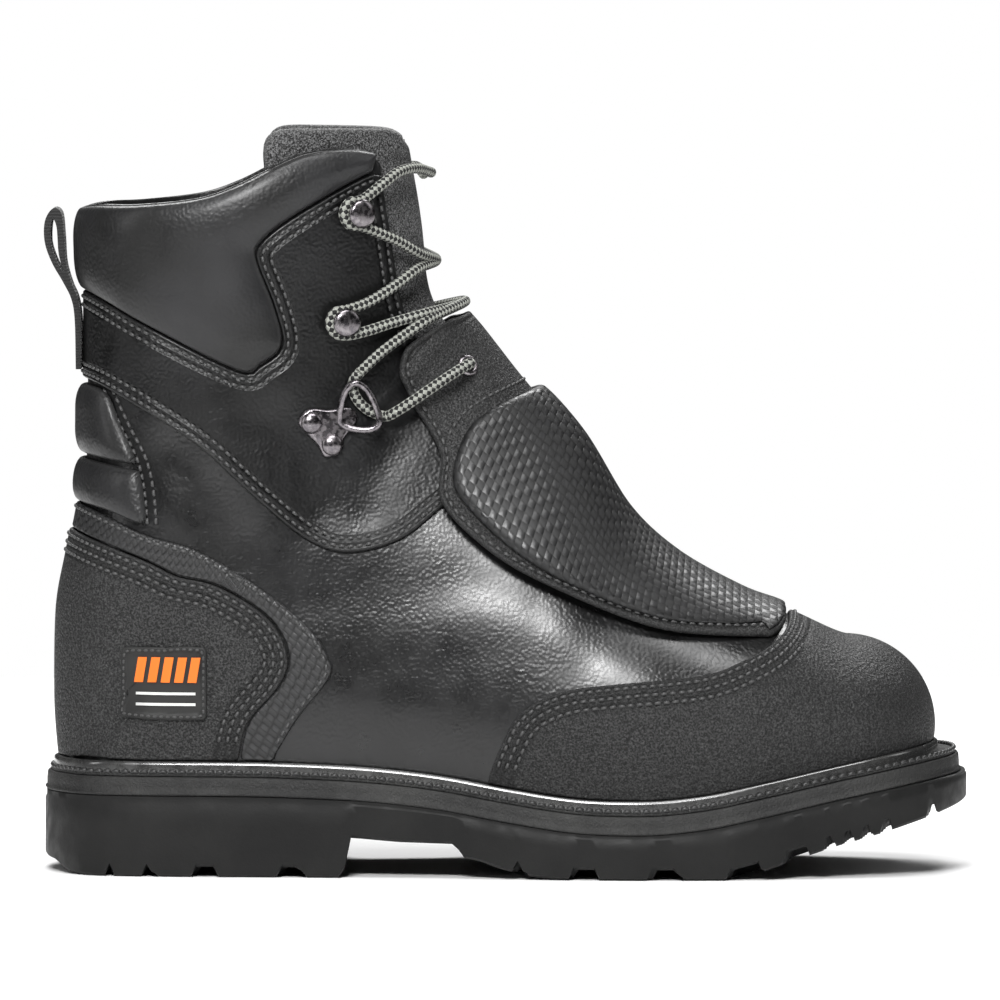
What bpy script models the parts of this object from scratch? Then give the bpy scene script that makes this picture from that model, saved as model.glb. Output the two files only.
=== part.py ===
"""A right metatarsal guard work boot, toe to +X, lateral side to -Y, standing on Z = 0.

The upper is worked out by one function: rows run from the edge of the foot, or from the back
seam, over to the ridge on top. Every overlay, the tongue and the guard are cut from sheets that
lie at a distance in or out from that surface. Lengths in the tables are millimetres.
"""
import math

import bmesh
import bpy
import numpy as np

MM = 0.001
GAP = 0.3                # clearance between pieces that lie on each other
FOOT_GAP = 0.5           # from the welt to the lower edge of the upper
UPPER_WALL = 2.5
OVERLAY = 1.5            # thickness of a stitched-on leather layer
TONGUE_THICK = 3.5
INSOLE_THICK = 4.0
LACE_RADIUS = 1.8
CENTRE_Y = 0.9           # moves the model so that Y = 0 is the middle of its width

WELT_THICK = 1.3
MIDSOLE_THICK = 5.6
BEAD_HEIGHT = 3.8
BEAD_INSIDE = 1.5        # from the foot of the upper to the bead
BEAD_OUTSIDE = 4.2
OVERLAY_FOOT = 4.2       # overlays end this far above the welt, over the bead

HALF_LENGTH = 155.8      # the sole runs this far each way along X
THROAT_ROW = 9.3         # row where the throat opens
BACK_ROW = 15.0          # row from the back of the heel, where the two sides meet

# Height of the welt's top face along the sole
WELT_TOP = (
    ("x", "z"),
    (-160.0, 34.8), (-103.0, 34.8), (-76.0, 34.5), (-45.0, 33.1), (-22.0, 30.6), (1.0, 26.5),
    (24.0, 23.2), (45.0, 22.6), (66.0, 24.4), (86.0, 28.4), (116.0, 34.8), (143.0, 39.7),
    (160.0, 41.4),
)

# One row for each section of the last. rise is the height of the foot point over the welt, start
# the angle where the section begins, lateral and medial its half widths, lean how far it bulges
# outward at the toe, egg how much narrower it is in front and power how square it is. A rise or a
# start below 0 counts as 0: the back seam begins where both pass it.
ROWS = (
    ("foot_x", "rise", "top_x", "top_z", "start", "lateral", "medial", "lean", "egg", "power"),
    (142.0, -60.0, 114.6, 77.4, 72.0, 0.0, 0.0, 1.0, 0.0, 1.0),
    (139.6, -60.0, 114.6, 77.4, 71.0, 17.5, 18.5, 1.0, 0.0, 1.0),
    (132.6, -60.0, 114.6, 77.4, 70.0, 31.5, 33.5, 1.0, 0.0, 1.0),
    (122.0, -60.0, 114.6, 77.4, 68.0, 40.5, 42.5, 1.0, 0.0, 1.0),
    (109.5, -60.0, 109.5, 79.2, 66.0, 45.5, 47.0, 1.0, 0.0, 0.97),
    (92.6, -60.0, 92.6, 86.9, 66.0, 50.0, 50.5, 1.0, 0.02, 0.95),
    (75.7, -60.0, 77.4, 91.9, 66.0, 53.0, 52.0, 0.0, 0.04, 0.95),
    (48.7, -60.0, 54.8, 102.8, 66.0, 54.0, 51.5, 0.0, 0.06, 0.98),
    (21.6, -60.0, 35.8, 117.6, 65.0, 51.5, 47.5, 0.0, 0.10, 1.0),
    (-8.8, -60.0, 18.9, 142.3, 64.0, 47.0, 43.0, 0.0, 0.14, 1.02),
    (-42.6, -60.0, 3.0, 160.0, 62.0, 42.5, 39.5, 0.0, 0.16, 1.0),
    (-76.4, -60.0, -7.1, 173.1, 60.0, 39.5, 38.0, 0.0, 0.16, 0.95),
    (-106.8, -60.0, -12.5, 180.0, 57.0, 38.0, 37.5, 0.0, 0.15, 0.88),
    (-133.5, -46.0, -16.0, 184.0, 45.0, 37.2, 36.8, 0.0, 0.13, 0.82),
    (-145.7, -23.0, -18.0, 186.5, 17.5, 36.8, 36.4, 0.0, 0.12, 0.80),
    (-148.7, 0.0, -19.8, 189.0, 0.0, 36.8, 36.4, 0.0, 0.12, 0.80),
    (-150.4, 25.0, -22.5, 195.5, -14.0, 37.0, 36.5, 0.0, 0.12, 0.80),
    (-149.9, 52.0, -23.8, 201.5, -20.0, 37.0, 36.5, 0.0, 0.12, 0.82),
    (-146.4, 72.4, -24.2, 206.5, -20.0, 37.0, 36.5, 0.0, 0.12, 0.84),
    (-142.9, 91.0, -24.6, 211.0, -20.0, 37.2, 36.8, 0.0, 0.13, 0.86),
    (-141.4, 109.6, -25.1, 216.0, -20.0, 37.8, 37.4, 0.0, 0.14, 0.88),
    (-141.2, 129.8, -25.8, 221.5, -20.0, 38.8, 38.4, 0.0, 0.15, 0.90),
    (-141.0, 150.0, -26.8, 228.0, -20.0, 40.0, 39.6, 0.0, 0.15, 0.92),
    (-141.0, 167.0, -28.2, 236.0, -20.0, 41.0, 40.6, 0.0, 0.15, 0.93),
    (-141.4, 182.2, -29.6, 244.0, -20.0, 41.6, 41.2, 0.0, 0.15, 0.94),
    (-142.0, 194.0, -31.0, 252.0, -20.0, 42.0, 41.6, 0.0, 0.15, 0.94),
    (-142.6, 205.0, -32.5, 259.0, -20.0, 42.2, 41.8, 0.0, 0.15, 0.94),
)

# Rows at which the upper and the layers on it are cut into faces
ROW_GRID = np.array((0, 0.7, 1.5, 2.4, 3.4, 4.4, 5.4, 6.4, 7.4, 8.4, THROAT_ROW, 10.1, 10.9, 11.8,
                     12.7, 13.4, 14.1, 14.6, BACK_ROW, 16.1, 17.3, 18.6, 19.9, 21.2, 22.6, 24))
LAST_LEVEL_ROW = 19.9    # above this row the rows bend to follow the collar line
COLUMNS = 11             # points from the foot to the ridge or the throat

# How far the flap and the padded panel of the guard stand off the upper, row by row
GUARD = (
    ("row", "flap", "edge", "panel"),
    (4.5, 0.4, 0.0, 0.9),
    (5.2, 0.4, 0.4, 0.9),
    (6.0, 0.6, 2.4, 1.3),
    (7.0, 1.0, 4.4, 2.6),
    (8.0, 2.2, 5.5, 3.6),
    (9.0, 3.2, 5.8, 3.9),
    (10.0, 3.7, 4.6, 3.9),
    (11.0, 3.5, 3.0, 3.9),
    (12.0, 3.5, 2.4, 3.9),
    (13.0, 3.5, 2.4, 3.9),
    (16.0, 3.5, 2.4, 3.9),
)
FLAP_THICK = 2.2
GUARD_SIDE = 0.75        # share of the half section where the edge lift is reached

# Side view lines, toe to the right: (x, z)
TOE_CAP_EDGE = ((-8.0, 24.0), (-6.4, 31.4), (-2.0, 43.3), (4.7, 55.1), (18.3, 62.5), (38.5, 65.2),
                (65.6, 67.6), (79.1, 72.0), (89.2, 77.1), (95.0, 84.0), (95.5, 96.0))
COUNTER_STRIP_EDGE = ((-160.0, 126.4), (-145.3, 124.4), (-133.8, 120.3), (-120.3, 114.2),
                      (-103.4, 109.2), (-83.1, 97.3), (-66.2, 83.8), (-59.5, 73.7),
                      (-59.0, 66.9), (-69.6, 53.4), (-79.0, 38.0))
COUNTER_EDGE = ((-160.0, 117.9), (-146.7, 115.3), (-137.2, 111.9), (-120.3, 105.5),
                (-110.2, 100.7), (-96.7, 97.3), (-79.8, 86.5), (-73.0, 73.7), (-76.4, 63.5),
                (-86.5, 51.7), (-89.9, 38.0))
QUARTER_LOW = ((-160.0, 167.8), (-142.3, 166.6), (-127.1, 159.9), (-103.4, 144.7),
               (-83.1, 126.1), (-66.2, 112.6), (-52.7, 108.5), (-35.8, 112.6), (-22.3, 122.7),
               (-10.0, 133.0), (-8.5, 142.0))
THROAT_EDGE = ((-42.5, 258.0), (-41.5, 234.9), (-38.7, 215.6), (-34.5, 191.0), (-27.4, 176.8),
               (-15.5, 161.6), (0.0, 150.5), (24.0, 147.0))
COLLAR_LOW = ((-160.0, 198.0), (-140.6, 196.0), (-120.3, 185.2), (-89.9, 170.0),
              (-82.5, 172.0), (-75.4, 178.5), (-78.1, 192.0), (-83.8, 207.2), (-82.5, 212.9),
              (-73.0, 220.7), (-52.7, 232.5), (-39.5, 238.3))
COLLAR_TOP = ((-160.0, 219.0), (-146.7, 222.6), (-137.2, 224.8), (-123.7, 225.2),
              (-103.4, 227.4), (-89.9, 231.9), (-76.4, 238.6), (-66.2, 242.6), (-52.7, 243.8),
              (-42.6, 241.9), (-34.0, 238.0))
PAD_HIGH = ((-160.0, 163.8), (-136.5, 163.2), (-129.5, 152.0), (-124.5, 141.0),
            (-126.0, 138.2), (-160.0, 144.5))
PAD_LOW = ((-160.0, 142.5), (-126.0, 136.3), (-122.6, 134.4), (-121.0, 126.0),
           (-121.5, 118.2), (-134.2, 122.4), (-160.0, 128.4))
TONGUE_EDGE = ((-80.4, 262.0), (-80.0, 238.0), (-76.0, 220.0), (-66.0, 200.0), (-52.0, 180.0),
               (-34.0, 160.0), (-14.0, 144.0), (8.0, 132.0), (45.0, 122.0))
TONGUE_TOP_Z = 250.8
FLAP_EDGE = ((110.0, 86.0), (92.0, 82.0), (87.5, 79.8), (71.3, 79.8), (52.4, 81.5), (33.1, 87.2),
             (14.2, 95.7), (0.0, 103.4), (-11.2, 111.9), (-18.9, 119.7), (-22.8, 127.1),
             (-22.3, 138.6), (-26.4, 148.0), (-33.1, 158.2), (-36.8, 167.0), (-36.8, 172.7),
             (-34.1, 177.5), (-23.7, 183.2), (-11.2, 186.2), (-5.4, 185.9), (0.0, 189.0))
PANEL_EDGE = ((110.0, 84.6), (89.2, 82.6), (71.3, 82.0), (52.4, 83.5), (33.1, 89.2),
              (14.2, 98.5), (-1.0, 109.2), (-13.6, 121.6), (-18.4, 129.5), (-17.5, 139.3),
              (-13.2, 148.7), (-4.7, 154.5), (8.5, 158.8), (18.3, 158.8), (32.0, 158.0))
BADGE_BOX = ((-128.1, 77.1), (-100.0, 77.1), (-100.0, 52.7), (-128.1, 52.7))

# Underside of the outsole: heel block, arch, step, forefoot and toe spring
SOLE_BOTTOM = ((-157.0, 5.0), (-152.0, 4.2), (-147.5, 1.2), (-141.0, 0.0), (-54.6, 0.0),
               (-52.1, 13.5), (-35.8, 12.2), (-16.4, 11.7), (-15.2, 7.3), (-8.8, 6.1),
               (-2.0, 3.6), (7.0, 1.3), (16.0, 0.3), (26.0, 0.0), (76.0, 0.0), (84.0, 2.2),
               (96.7, 6.6), (110.2, 11.0), (126.4, 15.4), (142.6, 20.3), (160.0, 25.6))

# Notches in the side of the tread: where they start and end, and how far they slope
NOTCHES = (
    ("from_x", "to_x", "slope"),
    (-134.5, -132.1, 0.0), (-122.0, -118.6, 0.0), (-105.1, -97.3, 4.0), (-76.4, -68.6, 4.0),
    (3.0, 5.8, 0.0), (21.6, 30.8, 4.0), (48.3, 57.8, 4.0), (74.0, 85.2, 4.0),
    (93.0, 100.7, 3.0), (106.5, 109.5, 0.0), (112.9, 115.9, 0.0), (119.0, 122.0, 0.0),
    (125.4, 128.8, 0.0), (141.3, 144.3, 0.0),
)
NOTCH_HIGH = 3.5
NOTCH_IN = 15.0          # how far a notch runs in from the side

# Lacing, lateral side: (x, z, height over the upper)
LOCK_RIVETS = ((-65.6, 152.1), (-58.8, 144.7))
LOCK_PLATE = ((-70.2, 152.5), (-66.5, 156.8), (-60.0, 156.4), (-53.0, 157.2), (-50.5, 153.0),
              (-54.3, 147.6), (-56.2, 142.0), (-61.0, 140.4), (-63.6, 144.6), (-66.6, 147.8))
LOCK_RING = ((-56.6, 154.0, 3.7), (-55.6, 161.6, 5.4), (-52.6, 165.2, 6.2), (-48.6, 162.6, 6.2),
             (-44.9, 156.0, 6.0), (-45.0, 151.6, 6.0), (-48.6, 149.4, 5.4), (-55.0, 150.8, 3.7))
MIDDLE_HOOK = (-56.1, 185.9)
TOP_HOOK = (-52.1, 222.4)
GUARD_EYELET = (-15.5, 168.3)
STRAND_TO_LOCK = ((-17.6, 167.2, 11.4), (-24.0, 163.6, 12.2), (-33.0, 158.4, 10.6),
                  (-38.5, 155.4, 8.2), (-42.0, 153.6, 6.2))


def column(table, name):
    place = table[0].index(name)
    return np.array([line[place] for line in table[1:]], float)


def smooth(xs, ys, x):
    """Cubic through the points that never overshoots them."""
    xs = np.asarray(xs, float)
    ys = np.asarray(ys, float)
    steps = np.diff(ys) / np.diff(xs)
    mean = (steps[:-1] + steps[1:]) / 2
    most = 3 * np.minimum(np.abs(steps[:-1]), np.abs(steps[1:]))
    inner = np.where(steps[:-1] * steps[1:] > 0, np.sign(mean) * np.minimum(np.abs(mean), most), 0)
    slopes = np.concatenate(([steps[0]], inner, [steps[-1]]))
    x = np.clip(x, xs[0], xs[-1])
    k = np.clip(np.searchsorted(xs, x, side="right") - 1, 0, len(xs) - 2)
    wide = xs[k + 1] - xs[k]
    u = (x - xs[k]) / wide
    return (ys[k] * (1 + 2 * u) * (1 - u) ** 2 + slopes[k] * wide * u * (1 - u) ** 2
            + ys[k + 1] * u * u * (3 - 2 * u) + slopes[k + 1] * wide * u * u * (u - 1))


def welt_top(x):
    return smooth(column(WELT_TOP, "x"), column(WELT_TOP, "z"), x)


def row_value(name, row):
    """A column of ROWS at any row. The toe is mirrored, so that the surface is smooth there."""
    values = column(ROWS, name)
    before = -values[1] if name in ("lateral", "medial") else values[1]
    return smooth(np.arange(-1, len(values)), np.concatenate(([before], values)), row)


def surface(row, side):
    """Points of the upper's outer face. side runs from -1, lateral foot or back, to 1, medial."""
    row = np.asarray(row, float)
    side = np.asarray(side, float)
    start = np.radians(np.maximum(row_value("start", row), 0))
    angle = start + (1 - np.abs(side)) * (math.pi - start)
    power = row_value("power", row)
    wide = np.clip(np.sin(angle), 0, 1) ** power
    width = np.where(side < 0, row_value("lateral", row), row_value("medial", row))
    climb = (np.cos(start) - np.cos(angle)) / (1 + np.cos(start))
    bulge = wide / np.maximum(np.sin(start), 1e-6) ** power
    lean = row_value("lean", row)
    along = lean * np.minimum(bulge, 2) + (1 - lean) * (1 - climb)
    foot_x = row_value("foot_x", row)
    foot_z = welt_top(foot_x) + FOOT_GAP + np.maximum(row_value("rise", row), 0)
    top_x = row_value("top_x", row)
    x = top_x + (foot_x - top_x) * along
    y = np.sign(side) * width * wide * (1 + row_value("egg", row) * np.cos(angle))
    z = foot_z + (row_value("top_z", row) - foot_z) * climb
    return np.stack(np.broadcast_arrays(x, y, z), axis=-1)


def normal(row, side):
    """Outward direction, level with the middle plane on the ridge, the toe and the back."""
    row, side = np.broadcast_arrays(np.asarray(row, float), np.asarray(side, float))
    step = 0.01
    fan_centre = (np.abs(side) < 0.03) & (row < 4)
    row = np.where(fan_centre, 4.0, row)
    side = np.where(fan_centre, 0.0, side)
    across = (surface(row, np.minimum(side + step, 1)) - surface(row, np.maximum(side - step, -1)))
    last = len(ROWS) - 2
    along = (surface(np.minimum(row + step, last), side)
             - surface(np.maximum(row - step, 0), side))
    out = np.cross(across, along)
    seam = (np.abs(side) < 1e-9) | (row < 1e-9) | ((np.abs(side) > 1 - 1e-9) & (row >= BACK_ROW))
    out[..., 1] = np.where(seam, 0, out[..., 1])
    foot = (np.abs(side) > 1 - 1e-9) & (row <= BACK_ROW)
    out[..., 2] = np.where(foot, 0, out[..., 2])
    return out / np.maximum(np.linalg.norm(out, axis=-1, keepdims=True), 1e-9)


def lifted(row, side, height):
    height = np.asarray(height, float)
    return surface(row, side) + normal(row, side) * height[..., None]


def curve(points, steps=2):
    """A smooth open line through side view points."""
    points = np.asarray(points, float)
    ends = np.concatenate(([2 * points[0] - points[1]], points, [2 * points[-1] - points[-2]]))
    line = []
    for a, b, c, d in zip(ends, ends[1:], ends[2:], ends[3:]):
        for k in range(steps):
            u = k / steps
            line.append(b + 0.5 * u * (c - a + u * (2 * a - 5 * b + 4 * c - d
                                                    + u * (3 * (b - c) + d - a))))
    line.append(points[-1])
    return np.array(line)


def loop(points, steps=2):
    """A smooth closed line through points."""
    points = np.asarray(points, float)
    around = np.concatenate((points[-1:], points, points[:2]))
    return curve(around, steps)[steps:-steps - 1]


def welt_line(from_x, to_x, count=14):
    """The lower limit of the overlays, just above the bead."""
    x = np.linspace(from_x, to_x, count)
    return np.stack((x, welt_top(x) + OVERLAY_FOOT), axis=1)


def above_welt(line):
    """The part of a side view line that lies over the bead."""
    return line[line[:, 1] > welt_top(line[:, 0]) + OVERLAY_FOOT + 0.2]


def side_where(row, line):
    """Where the straight row crosses a side view line, as a value of side on the lateral half."""
    foot = surface(row, -1.0)[[0, 2]]
    top = surface(row, 0.0)[[0, 2]]
    best = None
    for a, b in zip(line[:-1], line[1:]):
        span = np.array([top - foot, a - b]).T
        if abs(np.linalg.det(span)) < 1e-9:
            continue
        climb, share = np.linalg.solve(span, a - foot)
        if -1e-9 <= share <= 1 + 1e-9 and 0 <= climb <= 1:
            best = climb if best is None else max(best, climb)
    if best is None:
        return None
    start = math.radians(max(float(row_value("start", row)), 0.0))
    angle = math.acos(max(-1.0, math.cos(start) - best * (1 + math.cos(start))))
    return -(1 - (angle - start) / (math.pi - start))


def locate(x, z, lateral=True):
    """Row and side of the point that shows at x, z from the side."""
    rows, sides = np.meshgrid(np.linspace(0, len(ROWS) - 2, 521), np.linspace(-1, 0, 201),
                              indexing="ij")
    points = surface(rows, sides)
    away = (points[..., 0] - x) ** 2 + (points[..., 2] - z) ** 2
    k = np.unravel_index(np.argmin(away), away.shape)
    side = sides[k]
    return rows[k], side if lateral else -side


def on_upper(x, z, height, lateral=True):
    row, side = locate(x, z, lateral)
    return lifted(np.array(row), np.array(side), np.array(height))


def row_at_height(side, z):
    """Row above the back seam's foot where the surface reaches a height."""
    low, high = BACK_ROW, float(len(ROWS) - 2)
    for _ in range(40):
        middle = (low + high) / 2
        if surface(middle, side)[2] < z:
            low = middle
        else:
            high = middle
    return (low + high) / 2


def new_object(name, vertices, faces):
    mesh = bpy.data.meshes.new(name)
    points = np.array(vertices, float) * MM
    mesh.from_pydata(points.tolist(), [], [list(map(int, face)) for face in faces])
    mesh.validate()
    piece = bpy.data.objects.new(name, mesh)
    bpy.context.scene.collection.objects.link(piece)
    return piece


def triangulated(piece):
    work = bmesh.new()
    work.from_mesh(piece.data)
    bmesh.ops.triangulate(work, faces=work.faces[:])
    bmesh.ops.recalc_face_normals(work, faces=work.faces[:])
    work.to_mesh(piece.data)
    work.free()
    return piece


def sheet(name, rows, sides, inner, outer, cut_columns=()):
    """A closed shell between two heights over the upper, on a grid of rows and sides."""
    base = surface(rows, sides).reshape(-1, 3)
    _, first, same = np.unique(np.round(base, 3) + 0.0, axis=0, return_index=True,
                               return_inverse=True)
    same = same.reshape(rows.shape)
    out_points = lifted(rows, sides, outer).reshape(-1, 3)[first]
    in_points = lifted(rows, sides, inner).reshape(-1, 3)[first]
    faces = []
    for i in range(rows.shape[0] - 1):
        for j in range(rows.shape[1] - 1):
            if j in cut_columns:
                continue
            a, b, c, d = same[i, j], same[i, j + 1], same[i + 1, j + 1], same[i + 1, j]
            faces += [face for face in ([a, b, c], [a, c, d]) if len(set(face)) == 3]
    edges = {(a, b) for face in faces for a, b in zip(face, face[1:] + face[:1])}
    rim = [(a, b) for a, b in edges if (b, a) not in edges]
    count = len(first)
    closed = [face for face in faces]
    closed += [[c + count for c in reversed(face)] for face in faces]
    closed += [[b, a, a + count, b + count] for a, b in sorted(rim)]
    return triangulated(new_object(name, np.concatenate((out_points, in_points)), closed))


def prism(name, outline, low, high, axis="y"):
    """An outline carried along Y, from a side view, or along Z, from above."""
    outline = np.asarray(outline, float)
    count = len(outline)
    if axis == "y":
        def place(across):
            return np.stack((outline[:, 0], np.full(count, across), outline[:, 1]), axis=1)
    else:
        def place(across):
            return np.stack((outline[:, 0], outline[:, 1], np.full(count, across)), axis=1)
    vertices = np.concatenate((place(low), place(high)))
    faces = [list(range(count)), [count + k for k in reversed(range(count))]]
    faces += [[k, k + count, (k + 1) % count + count, (k + 1) % count] for k in range(count)]
    return triangulated(new_object(name, vertices, faces))


def combine(piece, other, operation):
    """Boolean of two closed pieces. The second one is used up."""
    change = piece.modifiers.new("shape", "BOOLEAN")
    change.object = other
    change.operation = operation
    for solver in ("EXACT", "MANIFOLD"):
        change.solver = solver
        bpy.context.view_layer.update()
        result = piece.evaluated_get(bpy.context.evaluated_depsgraph_get())
        mesh = bpy.data.meshes.new_from_object(result)
        if mesh.polygons:
            break
    piece.modifiers.clear()
    piece.data = mesh
    bpy.data.objects.remove(other)
    return piece


def edge_distance(x, z, outline):
    """Distance of side view points from a closed outline."""
    point = np.stack((x, z), axis=-1)
    best = np.full(x.shape, 1e9)
    for a, b in zip(outline, np.roll(outline, -1, axis=0)):
        span = b - a
        share = np.clip(((point - a) @ span) / max(span @ span, 1e-12), 0, 1)
        best = np.minimum(best, np.linalg.norm(point - a - share[..., None] * span, axis=-1))
    return best


def collar_row(side, collar):
    """Row where the upper ends at this side, on the collar line."""
    low, high = BACK_ROW + 3, float(len(ROWS) - 2)
    for _ in range(40):
        middle = (low + high) / 2
        x, _, z = surface(middle, side)
        if z < np.interp(x, collar[:, 0], collar[:, 1]):
            low = middle
        else:
            high = middle
    return (low + high) / 2


def upper_grid():
    """Rows and sides of the upper, its edges on the throat line and the collar line."""
    throat = curve(THROAT_EDGE, 6)
    collar = curve(COLLAR_TOP, 6)
    share = np.linspace(0, 1, COLUMNS)
    rows = np.zeros((len(ROW_GRID), 2 * COLUMNS))
    sides = np.zeros(rows.shape)
    for i, row in enumerate(ROW_GRID):
        opening = 0.0 if row <= THROAT_ROW else side_where(row, throat)
        lateral = -1 + share * (1 + opening)
        sides[i] = np.concatenate((lateral, -lateral[::-1]))
        rows[i] = row
    top = ROW_GRID[-1]
    for j in range(2 * COLUMNS):
        share_up = np.clip((ROW_GRID - LAST_LEVEL_ROW) / (top - LAST_LEVEL_ROW), 0, 1)
        end_row = collar_row(sides[-1, j], collar)
        rows[:, j] += share_up * (end_row - top)
    for i in range(len(ROW_GRID)):
        for j, sign in ((COLUMNS - 1, 1), (COLUMNS, -1)):
            if rows[i, j] > THROAT_ROW:
                sides[i, j] = sign * side_where(rows[i, j], throat)
    return rows, sides


def panel(name, outline, first_row, last_row, low, high, puff=0.0, puff_width=14.0, half=0):
    """A layer on the upper within a side view outline. half is -1 for the lateral side only.

    puff is how much thicker the layer is away from its edge.
    """
    rows, sides = upper_grid()
    used = (ROW_GRID > first_row - 0.01) & (ROW_GRID < last_row + 0.01)
    rows, sides = rows[used], sides[used]
    points = surface(rows, sides)
    under = np.zeros(rows.shape)
    away = edge_distance(points[..., 0], points[..., 2], outline)
    swell = puff * np.sqrt(np.clip(1 - (1 - np.minimum(away / puff_width, 1)) ** 2, 0, 1))
    piece = sheet(name, rows, sides, under + low, under + high + swell, (COLUMNS - 1,))
    limits = {0: (-90, 90), -1: (-90, -0.5), 1: (0.5, 90)}[half]
    return combine(piece, prism(name + "_cut", outline, *limits), "INTERSECT")


def finish(piece, colour, roughness, metallic=0.0):
    """Gives a piece its material and moves it to the model's middle."""
    material = bpy.data.materials.new(piece.name)
    material.use_nodes = True
    shader = material.node_tree.nodes["Principled BSDF"]
    shader.inputs["Base Color"].default_value = (*colour, 1.0)
    shader.inputs["Roughness"].default_value = roughness
    shader.inputs["Metallic"].default_value = metallic
    piece.data.materials.clear()
    piece.data.materials.append(material)
    for corner in piece.data.vertices:
        corner.co.y += CENTRE_Y * MM
    return piece


LEATHER = ((0.030, 0.030, 0.033), 0.45)
ROUGH_LEATHER = ((0.050, 0.050, 0.052), 0.75)
PADDING = ((0.045, 0.045, 0.050), 0.50)
RUBBER = ((0.030, 0.030, 0.030), 0.70)
WEBBING = ((0.035, 0.035, 0.035), 0.85)
LACE = ((0.110, 0.110, 0.100), 0.80)
NICKEL = ((0.350, 0.350, 0.360), 0.30, 1.0)


def foot_outline(margin, steps=2):
    """Plan of the upper's foot line, moved out by a margin that may depend on x."""
    lateral = surface(np.linspace(0, BACK_ROW, int(BACK_ROW) * steps + 1), -1.0)[:, :2]
    medial = surface(np.linspace(BACK_ROW, 0, int(BACK_ROW) * steps + 1), 1.0)[1:-1, :2]
    line = np.concatenate((lateral, medial))
    along = np.roll(line, -1, axis=0) - np.roll(line, 1, axis=0)
    out = np.stack((along[:, 1], -along[:, 0]), axis=1)
    out /= np.linalg.norm(out, axis=1, keepdims=True)
    if out[0, 0] < 0:
        out = -out
    wide = margin(line[:, 0]) if callable(margin) else np.full(len(line), margin)
    return line + out * wide[:, None]


def sole_margin(x):
    """The sole stands out further at the toe."""
    return smooth((-160, -60, 60, 110, 142, 150), (6.6, 6.8, 7.0, 8.6, 11.4, 11.4), x)


def outsole_margin(x):
    return sole_margin(x) + smooth((-160, 60, 142, 150), (0.5, 0.5, 2.4, 2.4), x)


def side_band(low, high):
    """Side view polygon between two heights that are functions of x."""
    x = np.linspace(-165, 165, 23)
    bottom = np.stack((x, low(x)), axis=1)
    top = np.stack((x[::-1], high(x[::-1])), axis=1)
    return np.concatenate((bottom, top))


def outsole_top(x):
    return welt_top(x) - WELT_THICK - MIDSOLE_THICK - 2 * GAP


def notch_cutter():
    """All the notches of the tread as one cutter, both sides of the sole."""
    vertices = []
    faces = []
    bottom_x = [point[0] for point in SOLE_BOTTOM]
    bottom_z = [point[1] for point in SOLE_BOTTOM]
    outline = foot_outline(outsole_margin)
    for from_x, to_x, slope in NOTCHES[1:]:
        middle = (from_x + to_x) / 2
        near = outline[np.abs(outline[:, 0] - middle) < 12]
        for sign, edge in ((-1, near[:, 1].min()), (1, near[:, 1].max())):
            under = np.interp([from_x, to_x], bottom_x, bottom_z)
            inside = edge - sign * NOTCH_IN
            outside = edge + sign * 6
            first = len(vertices)
            for y in (inside, outside):
                vertices += [(from_x, y, under[0] - 3), (to_x, y, under[1] - 3),
                             (to_x, y, under[1] + NOTCH_HIGH),
                             (from_x + slope, y, under[0] + NOTCH_HIGH)]
            faces += [[first + k for k in face] for face in
                      ((0, 1, 2, 3), (7, 6, 5, 4), (0, 4, 5, 1), (1, 5, 6, 2), (2, 6, 7, 3),
                       (3, 7, 4, 0))]
    return triangulated(new_object("notches", vertices, faces))


def make_outsole():
    top_x = np.linspace(165, -165, 23)
    profile = np.concatenate((np.array(SOLE_BOTTOM), np.stack((top_x, outsole_top(top_x)), axis=1)))
    body = prism("outsole", foot_outline(outsole_margin), -5, 60, axis="z")
    combine(body, prism("profile", profile, -90, 90), "INTERSECT")
    combine(body, notch_cutter(), "DIFFERENCE")
    return finish(body, *RUBBER)


def make_midsole():
    body = prism("midsole", foot_outline(sole_margin), -5, 60, axis="z")
    band = side_band(lambda x: outsole_top(x) + GAP, lambda x: welt_top(x) - WELT_THICK - GAP)
    combine(body, prism("band", band, -90, 90), "INTERSECT")
    return finish(body, *RUBBER)


def make_welt():
    """Ledge with the raised bead that runs around the foot of the upper."""
    levels = (
        (lambda x: sole_margin(x) - 1.4, -WELT_THICK),
        (lambda x: sole_margin(x) - 1.4, 0.0),
        (BEAD_OUTSIDE, 0.0),
        (BEAD_OUTSIDE, BEAD_HEIGHT - 0.8),
        (BEAD_OUTSIDE - 0.8, BEAD_HEIGHT),
        (BEAD_INSIDE + 0.6, BEAD_HEIGHT),
        (BEAD_INSIDE, BEAD_HEIGHT - 0.6),
        (BEAD_INSIDE, 0.0),
    )
    vertices = []
    for margin, height in levels:
        ring = foot_outline(margin)
        count = len(ring)
        vertices += [(x, y, welt_top(x) + height) for x, y in ring]
    faces = []
    for k in range(len(levels) - 1):
        for i in range(count):
            j = (i + 1) % count
            faces.append([k * count + i, k * count + j, (k + 1) * count + j, (k + 1) * count + i])
    for ring, turn in ((0, 1), (len(levels) - 1, -1)):
        for i in range(count // 2):
            strip = [i, i + 1, (count - i - 1) % count, (count - i) % count]
            face = [ring * count + c for k, c in enumerate(strip) if c != strip[k - 1]]
            faces.append(face[::turn])
    return finish(triangulated(new_object("welt", vertices, faces)), *RUBBER)


def make_insole():
    body = prism("insole", foot_outline(-UPPER_WALL - 2.6), -5, 60, axis="z")
    band = side_band(lambda x: welt_top(x) + GAP, lambda x: welt_top(x) + GAP + INSOLE_THICK)
    combine(body, prism("band", band, -90, 90), "INTERSECT")
    return finish(body, (0.09, 0.09, 0.09), 0.9)


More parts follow.
